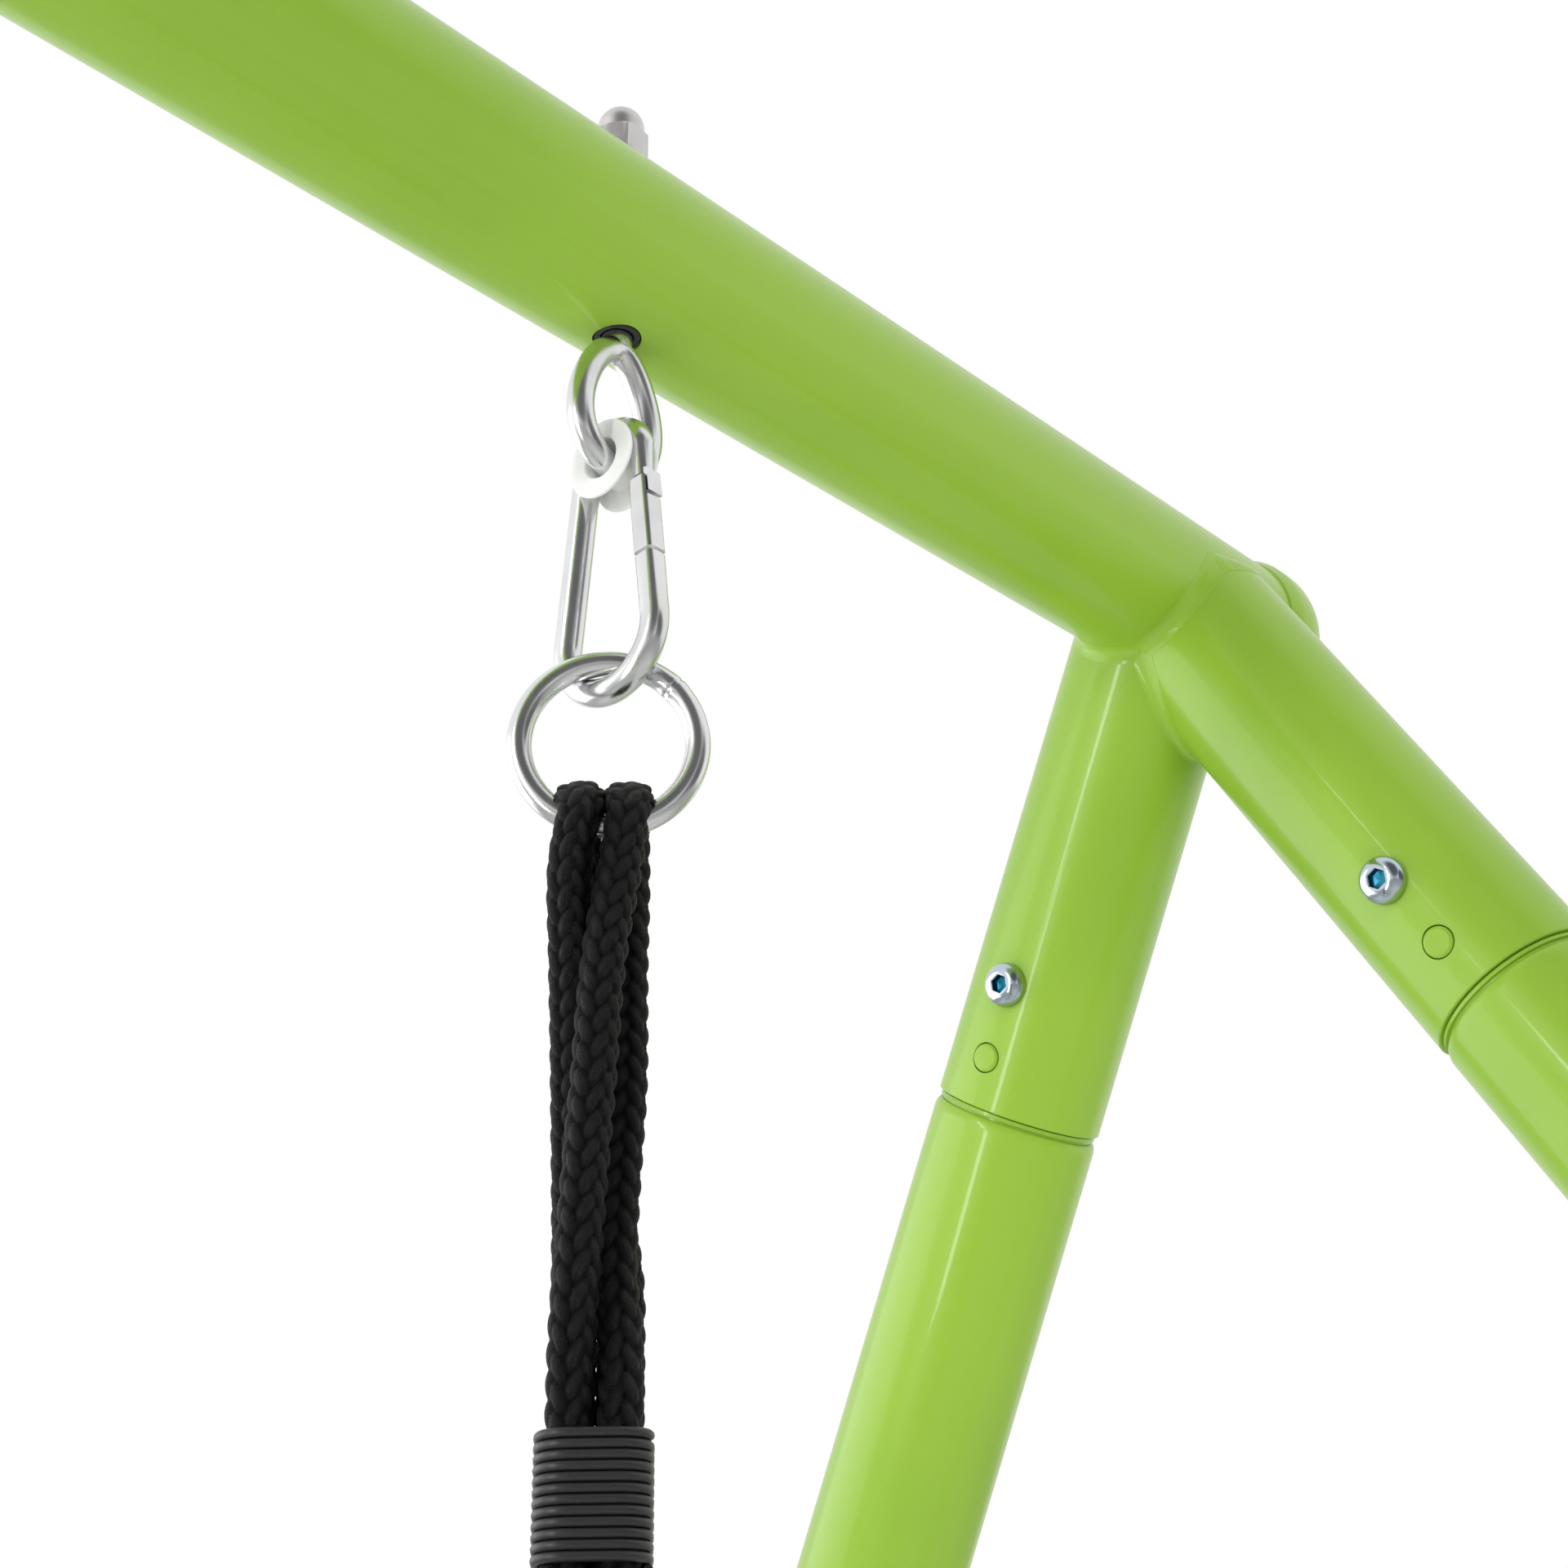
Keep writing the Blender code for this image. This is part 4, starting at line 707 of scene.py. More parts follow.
def places_object(name, matrices):
    """Points with a turn each, where a tree sets copies."""
    mesh = bpy.data.meshes.new(name)
    mesh.from_pydata([tuple(matrix.translation) for matrix in matrices], [], [])
    turn = mesh.attributes.new("turn", "FLOAT_VECTOR", "POINT")
    turn.data.foreach_set("vector", [x for matrix in matrices for x in matrix.to_euler()])
    return joined(name, mesh)


def copies_recipe():
    """A copy of the piece at each point, turned by the point's own turn.

    Faces that have the piece's second finish keep it."""
    recipe = Recipe("set_copies", piece="thing")
    shown = recipe.node("GeometryNodeObjectInfo", None, recipe.given("piece"), out="Geometry")
    spots = recipe.given("Geometry")
    turn = recipe.attribute("turn", "FLOAT_VECTOR")
    copies = recipe.node("GeometryNodeInstanceOnPoints", None, spots, Instance=shown, Rotation=turn)
    recipe.end(copies, 1.0 - recipe.node("GeometryNodeInputMaterialIndex"))
    return recipe


def weld_recipe():
    """Ripples across a strip of weld metal, and a slow unevenness.

    The strip's attribute "run" is the length up to a point, and "open_side" is 0 where it is sunk in."""
    recipe = Recipe("weld_ripples", ripple="size", ripple_step="size", wander="size", seed="count")
    place = recipe.node("GeometryNodeInputPosition")
    run = recipe.attribute("run")
    open_side = recipe.attribute("open_side")
    seed = recipe.given("seed")
    slow = recipe.node("ShaderNodeTexNoise", {"noise_dimensions": "4D"}, Vector=place, W=seed, Scale=110.0)
    fine = recipe.node("ShaderNodeTexNoise", {"noise_dimensions": "3D"}, Vector=place, Scale=420.0)
    wave = (run * (2 * math.pi) / recipe.given("ripple_step") + fine * 5.0).sine()
    lift = (wave * recipe.given("ripple") + (slow - 0.5) * recipe.given("wander")) * open_side
    normal = recipe.node("GeometryNodeInputNormal")
    raised = recipe.node("ShaderNodeVectorMath", {"operation": "SCALE"}, normal, Scale=lift)
    mesh = recipe.node("GeometryNodeSetPosition", None, recipe.given("Geometry"), Offset=raised)
    recipe.end(recipe.node("GeometryNodeSetShadeSmooth", None, mesh))
    return recipe


def cord_recipe():
    """A round cord along a path, for the rope bindings."""
    recipe = Recipe("round_cord", width="size", step="size")
    curve = recipe.node("GeometryNodeMeshToCurve", None, recipe.given("Geometry"))
    curve = recipe.node("GeometryNodeResampleCurve", {"mode": "LENGTH"}, curve, Length=recipe.given("step"))
    radius = recipe.given("width") * 0.5
    profile = recipe.node("GeometryNodeCurvePrimitiveCircle", None, Resolution=10, Radius=radius)
    mesh = recipe.node("GeometryNodeCurveToMesh", None, curve, Profile_Curve=profile, Fill_Caps=True)
    recipe.end(recipe.node("GeometryNodeSetShadeSmooth", None, mesh))
    return recipe


# Where things are


def axes_at(origin, x_axis, y_axis, z_axis):
    return Matrix.Translation(origin) @ Matrix((x_axis, y_axis, z_axis)).transposed().to_4x4()


def facing(origin, z_axis, near_x):
    """A frame whose Z is z_axis and whose X is near_x, made square to it."""
    z = z_axis.normalized()
    x = (near_x - z * near_x.dot(z)).normalized()
    return axes_at(origin, x, z.cross(x), z)


def corner_point(side):
    return Vector((side * CORNER_X, 0, BEAM_HEIGHT))


def leg_direction(side, end):
    """Down the leg: side is 1 right or -1 left, end is 1 rear or -1 front."""
    return Vector((side * LEG_OUT_SLOPE, end * LEG_SPREAD_SLOPE, -1)) / LEG_SLANT


def leg_frame(side, end):
    return facing(corner_point(side), leg_direction(side, end), Vector((-side, 0, 0)))


def fixing_frame(side, end, along):
    """Z points straight out of the leg at a screw or button, from the leg's axis."""
    base = leg_frame(side, end)
    toward_other = 1 if base.col[1].y * -end > 0 else -1
    turn = Matrix.Rotation(FIXING_TURN * toward_other, 4, "Z")
    return base @ Matrix.Translation((0, 0, along)) @ turn @ Matrix.Rotation(math.pi / 2, 4, "Y")


def crossbar_normal(side):
    return Vector((side, 0, LEG_OUT_SLOPE)).normalized()


def crossbar_bolt_frame(side, end):
    point = corner_point(side) + leg_direction(side, end) * CROSSBAR_BOLT_AT
    return facing(point, crossbar_normal(side), Vector((0, 1, 0)))


def corners():
    """(side, end, suffix) of the four legs."""
    return [
        (side, end, f"{side_name}_{end_name}")
        for side, side_name in SIDES
        for end, end_name in ENDS
    ]


def hanger_frame(side):
    return Matrix.Translation((side * EYE_X, 0, BEAM_HEIGHT))


def ring_axes(side):
    """(along the ring's lower bend, out of its plane), mirrored for the left hanger."""
    along = Vector((side * math.sin(RING_TURN), -math.cos(RING_TURN), 0))
    outward = Vector((-side * math.cos(RING_TURN), -math.sin(RING_TURN), 0))
    return along, outward


def from_ring(side, along_share, out_share, drop):
    along, outward = ring_axes(side)
    point = hanger_frame(side).translation + along * along_share + outward * out_share
    return point - Vector((0, 0, drop))


# Ropes

# Each strand's way from the ring to its binding: (along the ring's bend, out of its plane, drop)

STRANDS = {
    "left_front": [
        *((-0.0079, 0.0079, 0.172), (-0.0072, 0.0050, 0.192), (-0.0063, 0.0012, 0.214)),
        *((-0.0049, -0.0043, 0.259), (-0.0050, -0.0049, 0.275)),
    ],
    "right_front": [
        *((0.0045, 0.0092, 0.172), (0.0014, 0.0103, 0.192), (-0.0010, 0.0100, 0.214)),
        *((-0.0041, 0.0086, 0.259), (-0.0049, 0.0069, 0.275)),
    ],
    "right_rear": [
        *((0.0063, -0.0078, 0.172), (0.0060, -0.0056, 0.192), (0.0053, -0.0034, 0.214)),
        *((0.0034, 0.0014, 0.259), (0.0048, 0.0029, 0.275)),
    ],
    "left_rear": [
        *((-0.0066, -0.0082, 0.172), (-0.0050, -0.0096, 0.192), (-0.0030, -0.0108, 0.214)),
        *((0.0007, -0.0119, 0.236), (0.0046, -0.0094, 0.259), (0.0050, -0.0076, 0.275)),
    ],
}
BINDING_PLACE = {
    "left_front": (-1, -1),
    "right_front": (-1, 1),
    "right_rear": (1, 1),
    "left_rear": (1, -1),
}
WRAP_R = COVER_PINCH_R + ROPE_D / 2 + 0.0022


def binding_point(side, key, drop):
    place_along, place_out = BINDING_PLACE[key]
    return from_ring(side, place_along * BINDING_HALF, place_out * BINDING_HALF, drop)


def attach_frame(side, end):
    """At the seat tube's centre: Z up the rope, X out from the seat's middle."""
    angle = math.radians(ATTACH_ANGLE)
    base = Vector((side * SEAT_RING_R * math.cos(angle), end * SEAT_RING_R * math.sin(angle), SEAT_HEIGHT))
    middle = hanger_frame(side).translation - Vector((0, 0, BINDING_TOP + BINDING_LENGTH))
    return facing(base, middle - base, Vector((base.x, base.y, 0)))


def strand_down(side, keys, place_sign, base, steps):
    """One strand from the binding to the clamp, turning about its pair as it goes down."""
    drop = BINDING_TOP + BINDING_LENGTH
    own, other = (binding_point(side, key, drop) for key in keys)
    centre = (own + other) / 2
    half = own - centre
    clamp_top = base @ Vector((0, 0, CLAMP_UP + CLAMP_LENGTH / 2))
    goal = base.to_3x3() @ Vector((place_sign * CLAMP_HALF, 0, 0))
    start_angle = math.atan2(half.y, half.x)
    turn = (math.atan2(goal.y, goal.x) - start_angle + math.pi) % (2 * math.pi) - math.pi
    points = []
    for i in range(1, steps):
        share = i / steps
        angle = start_angle + turn * share
        reach = half.length * (1 - share) + CLAMP_HALF * share
        offset = Vector((reach * math.cos(angle), reach * math.sin(angle), goal.z * share))
        points.append(centre.lerp(clamp_top, share) + offset)
    return points


def wrap_side(sign):
    return [
        (sign * CLAMP_HALF, CLAMP_UP - CLAMP_LENGTH / 2),
        (sign * (CLAMP_HALF + 0.0035), 0.053),
        (sign * 0.0165, 0.036),
        (sign * 0.0245, 0.016),
    ]


def loop_over_ring(side, loop_sign):
    """The half turn over the ring's lower bend, from the front strand to the rear one."""
    across = loop_sign * ROPE_LOOP_APART / 2
    rise = RING_MEAN_R - math.sqrt(RING_MEAN_R**2 - across**2)
    drop = RING_DROP + RING_MEAN_R - rise
    bend_up = RING_MEAN_R - rise - math.sqrt((RING_MEAN_R - ROPE_BEND_R) ** 2 - across**2)
    angles = [math.pi * i / 8 for i in range(9)]
    return [from_ring(side, across, ROPE_BEND_R * math.cos(a), drop - bend_up * math.sin(a)) for a in angles]


def rope_route(side, loop):
    """One rope: from its butt end in a clamp round the seat tube, up, over the ring and back again."""
    base = attach_frame(side, -1 if loop == "right" else 1)
    up_key, down_key = f"{loop}_front", f"{loop}_rear"
    offset = binding_point(side, up_key, 0) - binding_point(side, down_key, 0)
    sign = 1 if offset.dot(base.col[0].to_3d()) > 0 else -1
    points = [base @ Vector((-sign * CLAMP_HALF, 0, CLAMP_UP - ROPE_BUTT_GAP))]
    points += [base @ Vector((out, 0, up)) for out, up in wrap_side(-sign)]
    for i in range(7):
        angle = math.pi * i / 6
        points.append(base @ Vector((-sign * WRAP_R * math.cos(angle), 0, -WRAP_R * math.sin(angle))))
    points += [base @ Vector((out, 0, up)) for out, up in reversed(wrap_side(sign))]
    points.append(base @ Vector((sign * CLAMP_HALF, 0, CLAMP_UP + CLAMP_LENGTH / 2)))
    points += reversed(strand_down(side, (up_key, down_key), sign, base, 4))
    points.append(binding_point(side, up_key, BINDING_TOP + BINDING_LENGTH))
    points.append(binding_point(side, up_key, BINDING_TOP))
    points += [from_ring(side, *spot) for spot in reversed(STRANDS[up_key])]
    points += loop_over_ring(side, 1 if loop == "right" else -1)
    points += [from_ring(side, *spot) for spot in STRANDS[down_key]]
    points.append(binding_point(side, down_key, BINDING_TOP))
    points.append(binding_point(side, down_key, BINDING_TOP + BINDING_LENGTH))
    points += strand_down(side, (down_key, up_key), -sign, base, 4)
    points.append(base @ Vector((-sign * CLAMP_HALF, 0, CLAMP_UP + CLAMP_LENGTH / 2)))
    points.append(base @ Vector((-sign * CLAMP_HALF, 0, CLAMP_UP + ROPE_BUTT_GAP)))
    return points


def smooth_line(points, step):
    """A smooth curve through the points, as an array of points about this step apart."""
    given = np.array([tuple(point) for point in points], float)
    given = np.vstack([2 * given[0] - given[1], given, 2 * given[-1] - given[-2]])
    made = []
    for p0, p1, p2, p3 in zip(given, given[1:], given[2:], given[3:]):
        k1 = np.linalg.norm(p1 - p0) ** 0.5
        k2 = k1 + np.linalg.norm(p2 - p1) ** 0.5
        k3 = k2 + np.linalg.norm(p3 - p2) ** 0.5
        count = max(2, int(np.linalg.norm(p2 - p1) / step))
        t = (k1 + (k2 - k1) * np.arange(count) / count)[:, None]
        a1 = (k1 - t) / k1 * p0 + t / k1 * p1
        a2 = (k2 - t) / (k2 - k1) * p1 + (t - k1) / (k2 - k1) * p2
        a3 = (k3 - t) / (k3 - k2) * p2 + (t - k2) / (k3 - k2) * p3
        b1 = (k2 - t) / k2 * a1 + t / k2 * a2
        b2 = (k3 - t) / (k3 - k1) * a2 + (t - k1) / (k3 - k1) * a3
        made.append((k2 - t) / (k2 - k1) * b1 + (t - k1) / (k2 - k1) * b2)
    return np.vstack([*made, given[-2]])


def run_lengths(line):
    """How far along the line each of its points is."""
    return np.concatenate([[0.0], np.cumsum(np.linalg.norm(np.diff(line, axis=0), axis=1))])


def frames_along(line):
    """Two unit vectors square to the line at each point, carried on without twist."""
    along = np.gradient(line, axis=0)
    along /= np.linalg.norm(along, axis=1)[:, None]
    start = np.cross(along[0], (0.3, 0.5, 0.8))
    normals = [start / np.linalg.norm(start)]
    for i in range(1, len(line)):
        normal = normals[-1] - along[i] * (normals[-1] @ along[i])
        normals.append(normal / np.linalg.norm(normal))
    normals = np.array(normals)
    return normals, np.cross(along, normals)


def braid(angles, lengths, columns, pitch, around):
    """The braid's surface over a grid of angle and length: (crown, across, along) of the stitch on top.

    The stitches lie in columns round the rope and lean to alternate sides, and each tucks under the next."""
    long_half = pitch * 0.74
    wide_half = around / columns * 0.58
    column = angles / (2 * math.pi) * columns
    crown = np.full(column.shape, -1.0)
    across = np.zeros(column.shape)
    along = np.zeros(column.shape)
    for shift in (-1, 0, 1):
        index = np.floor(column) + shift
        sign = np.where(index % 2 == 0, 1.0, -1.0)
        side = (column - index - 0.5) * around / columns
        phase = (index % 2) * pitch / 2
        for row in (-1, 0, 1):
            centre = (np.round((lengths - phase) / pitch) + row) * pitch + phase
            up = lengths - centre
            a = up * math.cos(STITCH_LEAN) + side * sign * math.sin(STITCH_LEAN)
            b = side * math.cos(STITCH_LEAN) - up * sign * math.sin(STITCH_LEAN)
            body = 1 - (a / long_half) ** 2 * 0.9 - (b / wide_half) ** 2
            height = np.where(body > 0, np.maximum(body, 0) ** 0.75, body * 0.5) + 0.30 * a / long_half
            over = height > crown
            crown = np.where(over, height, crown)
            across = np.where(over, b, across)
            along = np.where(over, a + centre * 0.37, along)
    return np.clip(crown, 0, 1.2), across, along


def grid_mesh(name, points, maps, crown=None, closed_ends=True):
    """A tube from an array of rings, (ring, place round it, xyz), with its maps and an optional crown."""
    rings, sides = points.shape[:2]
    mesh = bpy.data.meshes.new(name)
    first = np.arange(rings - 1)[:, None] * sides + np.arange(sides)
    beside = np.arange(rings - 1)[:, None] * sides + (np.arange(sides) + 1) % sides
    quads = np.stack([first, beside, beside + sides, first + sides], -1).reshape(-1, 4)
    faces = quads.tolist()
    if closed_ends:
        faces += [list(range(sides))[::-1], list(range((rings - 1) * sides, rings * sides))]
    mesh.from_pydata(points.reshape(-1, 3), [], faces)
    corner_points = np.empty(len(mesh.loops), np.int64)
    mesh.loops.foreach_get("vertex_index", corner_points)
    for key, values in maps.items():
        layer = mesh.uv_layers.new(name=key)
        layer.data.foreach_set("uv", values.reshape(-1, 2)[corner_points].ravel())
    if crown is not None:
        layer = mesh.attributes.new("crown", "FLOAT", "POINT")
        layer.data.foreach_set("value", crown.ravel())
    mesh.shade_smooth()
    return mesh


def braided(name, line, diameter, columns, pitch, sides, relief, flat=1.0):
    """A braided tube along a line. flat is its height over its width."""
    across, up = frames_along(line)
    lengths = run_lengths(line)
    angles = 2 * math.pi * np.arange(sides) / sides
    grid_angles, grid_lengths = np.meshgrid(angles, lengths)
    crown, sideways, along = braid(grid_angles, grid_lengths, columns, pitch, math.pi * diameter)
    radius = diameter / 2 - relief * 0.75 + relief * crown
    out = np.cos(grid_angles)[..., None] * across[:, None, :]
    out = out + flat * np.sin(grid_angles)[..., None] * up[:, None, :]
    points = line[:, None, :] + radius[..., None] * out
    stitch = np.stack([sideways, along], -1) * 1000
    return grid_mesh(name, points, {"stitch": stitch}, crown)


def uneven_steps(line, fine, coarse, high):
    """Picks points of a finely sampled line: this fine above a height, and coarse below it."""
    kept = [0]
    lengths = run_lengths(line)
    for i in range(1, len(line)):
        step = fine if line[i, 2] > high else coarse
        if lengths[i] - lengths[kept[-1]] >= step:
            kept.append(i)
    if kept[-1] != len(line) - 1:
        kept.append(len(line) - 1)
    return line[kept]


def net_height(reach):
    """The net's middle surface: down the cover's slit, then a shallow bowl."""
    edge = SEAT_RING_R - (COVER_R + 0.003) * math.cos(SLIT_SLOPE)
    if reach > edge:
        return (reach - SEAT_RING_R) * math.tan(SLIT_SLOPE)
    return (edge - SEAT_RING_R) * math.tan(SLIT_SLOPE) - NET_SAG * (1 - (reach / edge) ** 2)


def net_point(angle, reach):
    return Vector((reach * math.cos(angle), reach * math.sin(angle), SEAT_HEIGHT + net_height(reach)))


# Sizes and colours that a user would change


def colour(name, description, default):
    return FloatVectorProperty(name=name, description=description, default=default, subtype="COLOR", size=4)


def length(name, description, default, least=0.0):
    return FloatProperty(name=name, description=description, default=default, min=least, unit="LENGTH")


class SwingLooks(bpy.types.PropertyGroup):
    """Colours and gloss"""

    paint: colour("Paint", "Colour of the powder coat", (0.270, 0.480, 0.036, 1.0))
    paint_gloss: FloatProperty(
        name="Paint gloss",
        description="How much clear gloss lies on the paint",
        default=0.25,
        min=0.0,
        max=1.0,
        subtype="FACTOR",
    )
    rope_black: colour("Rope", "Colour of the rope's fibres in shade", (0.0034, 0.0035, 0.0042, 1.0))
    cover_green: colour("Cover", "Colour of the seat cover's cloth", (0.13, 0.30, 0.035, 1.0))


class SwingSizes(bpy.types.PropertyGroup):
    """Fine sizes of the dressing"""

    weld_leg: length(
        "Weld leg", "How far the weld runs out on each wall round the leg sockets", 0.0042, 0.002
    )
    weld_ripple: length("Weld ripple", "Height of the ripples across a weld", 0.00007)
    braid_columns: IntProperty(
        name="Braid columns",
        description="Columns of stitches round a rope, an even number",
        default=8,
        min=4,
        max=24,
        step=2,
    )
    braid_pitch: length("Braid pitch", "How far apart the stitches of a column are", 0.0058, 0.002)
    braid_relief: length("Braid relief", "How far the stitches stand out of the rope", 0.00150)


# Operators


class SWING_OT_stage(bpy.types.Operator):
    """Sets the camera, the lamps, the white surroundings and the floor"""

    bl_idname = "swing.stage"
    bl_label = "Camera, lamps and floor"

    def execute(self, context):
        scene = context.scene
        yaw, pitch, roll = (math.radians(a) for a in CAMERA_TURNS)
        level = math.cos(pitch)
        ahead = Vector((math.cos(yaw) * level, math.sin(yaw) * level, math.sin(pitch)))
        right = Vector((math.sin(yaw), -math.cos(yaw), 0))
        up = right.cross(ahead)
        cos, sin = math.cos(roll), math.sin(roll)
        right, up = right * cos + up * sin, up * cos - right * sin
        data = bpy.data.cameras.new("photo_view")
        data.sensor_width = SENSOR_WIDTH
        data.lens = CAMERA_FOCAL / PHOTO_SIDE * SENSOR_WIDTH
        data.shift_x = (PHOTO_SIDE / 2 - CAMERA_CENTRE[0]) / PHOTO_SIDE
        data.shift_y = (CAMERA_CENTRE[1] - PHOTO_SIDE / 2) / PHOTO_SIDE
        data.clip_start = 0.01
        camera = bpy.data.objects.new("photo_view", data)
        camera.matrix_world = axes_at(Vector(CAMERA_PLACE), right, up, -ahead)
        scene.collection.objects.link(camera)
        scene.camera = camera
        for lamp in LAMPS:
            self.lamp(*lamp)
        self.surround(scene)
        scene.view_settings.view_transform = "Standard"
        mesh = bpy.data.meshes.new("floor")
        square = [(x * FLOOR_HALF, y * FLOOR_HALF, 0) for x, y in ((-1, -1), (1, -1), (1, 1), (-1, 1))]
        mesh.from_pydata(square, [], [(0, 1, 2, 3)])
        mesh.materials.append(finish_of("floor"))
        joined("floor", mesh)
        return {"FINISHED"}

    def lamp(self, name, place, aim, wide, high, power, mirrored):
        """A soft rectangular lamp that looks at a point, and shows in glossy faces only if mirrored."""
        data = bpy.data.lights.new(name, "AREA")
        data.shape = "RECTANGLE"
        data.size = wide
        data.size_y = high
        data.energy = power
        lamp = bpy.data.objects.new(name, data)
        lamp.visible_glossy = mirrored
        turn = (Vector(aim) - Vector(place)).to_track_quat("-Z", "Y")
        lamp.matrix_world = Matrix.Translation(place) @ turn.to_matrix().to_4x4()
        bpy.context.scene.collection.objects.link(lamp)

    def surround(self, scene):
        """White to the camera, in metal and through nylon, and a plain even light on everything else.

        In metal two parts of it are dark, as in the photograph."""
        world = bpy.data.worlds.new("studio")
        world.use_nodes = True
        scene.world = world
        graph = Graph(world.node_tree)
        back = world.node_tree.nodes["Background"]
        path = graph.tree.nodes.new("ShaderNodeLightPath")
        seen = Wire(graph, path.outputs["Is Camera Ray"])
        mirrored = Wire(graph, path.outputs["Is Glossy Ray"])
        through = Wire(graph, path.outputs["Is Transmission Ray"])
        shown = seen.maths("MAXIMUM", seen, seen.maths("MAXIMUM", mirrored, through))
        direction = graph.node("ShaderNodeTexCoord", out="Generated")
        behind = graph.dot(direction, DARK_BEHIND)
        beside = graph.dot(direction, DARK_BESIDE)
        dark = beside.maths("MAXIMUM", behind.between(0.72, 0.93), beside.between(0.88, 0.95)) * mirrored
        strength = shown * (1.0 - dark * DARK_SHARE) + (1.0 - shown) * EVEN_LIGHT
        graph.feed(back.inputs["Color"], (1.0, 1.0, 1.0, 1.0))
        graph.feed(back.inputs["Strength"], strength)


class SWING_OT_ropes(bpy.types.Operator):
    """Braids the four ropes, each round the seat tube, up through the ring and back"""

    bl_idname = "swing.ropes"
    bl_label = "Ropes"

    def execute(self, context):
        sizes = context.scene.swing_sizes
        for side, side_name in SIDES:
            for loop, end_name in (("right", "front"), ("left", "rear")):
                fine, coarse, sides = ROPE_DRAWN[side]
                line = smooth_line(rope_route(side, loop), ROPE_LINE_STEP)
                line = uneven_steps(line, fine, coarse, ROPE_FINE_ABOVE)
                name = f"braided_rope_{side_name}_{end_name}"
                stitches = (sizes.braid_columns, sizes.braid_pitch, sides, sizes.braid_relief)
                mesh = braided(name, line, ROPE_D, *stitches)
                line = self.pressed(mesh, line, side, 1 if loop == "right" else -1)
                rope = joined(name, mesh)
                hung_on(rope, SWING, (f"rope_{side_name}_{end_name}",), "braid")
                tuple(line[0])
        return {"FINISHED"}

    def pressed(self, mesh, line, side, loop_sign):
        """Flattens the rope where it bends over the ring's wire, and returns its middle line there."""
        across = loop_sign * ROPE_LOOP_APART / 2
        drop = RING_DROP + math.sqrt(RING_MEAN_R**2 - across**2)
        wire = np.array(from_ring(side, across, 0, drop))
        inward = wire - line
        reach = np.linalg.norm(inward, axis=1)
        inward /= reach[:, None]
        near = np.clip((ROPE_BEND_R * 1.9 - reach) / (ROPE_BEND_R * 0.6), 0, 1)
        share = np.clip(near * np.clip(-inward[:, 2] + 0.15, 0, 1) * 1.15, 0, 1)
        along = np.gradient(line, axis=0)
        along /= np.linalg.norm(along, axis=1)[:, None]
        beside = np.cross(along, inward)
        beside /= np.linalg.norm(beside, axis=1)[:, None]
        inward = np.cross(beside, along)
        points = np.empty(len(mesh.vertices) * 3)
        mesh.vertices.foreach_get("co", points)
        points = points.reshape(len(line), -1, 3)
        away = points - line[:, None, :]
        deep = (away * inward[:, None, :]).sum(-1) * (-0.38 * share)[:, None]
        wide = (away * beside[:, None, :]).sum(-1) * (0.14 * share)[:, None]
        shift = inward * (0.0021 * share)[:, None]
        if loop_sign > 0:
            low = np.clip((line[:, 2] - (BEAM_HEIGHT - 0.225)) / 0.04, 0, 1)
            shift -= np.array(ring_axes(side)[0]) * (0.0012 * low * low * (3 - 2 * low))[:, None]
        moved = deep[..., None] * inward[:, None, :] + wide[..., None] * beside[:, None, :]
        points += moved + shift[:, None, :]
        mesh.vertices.foreach_set("co", points.ravel())
        mesh.update()
        return line + shift


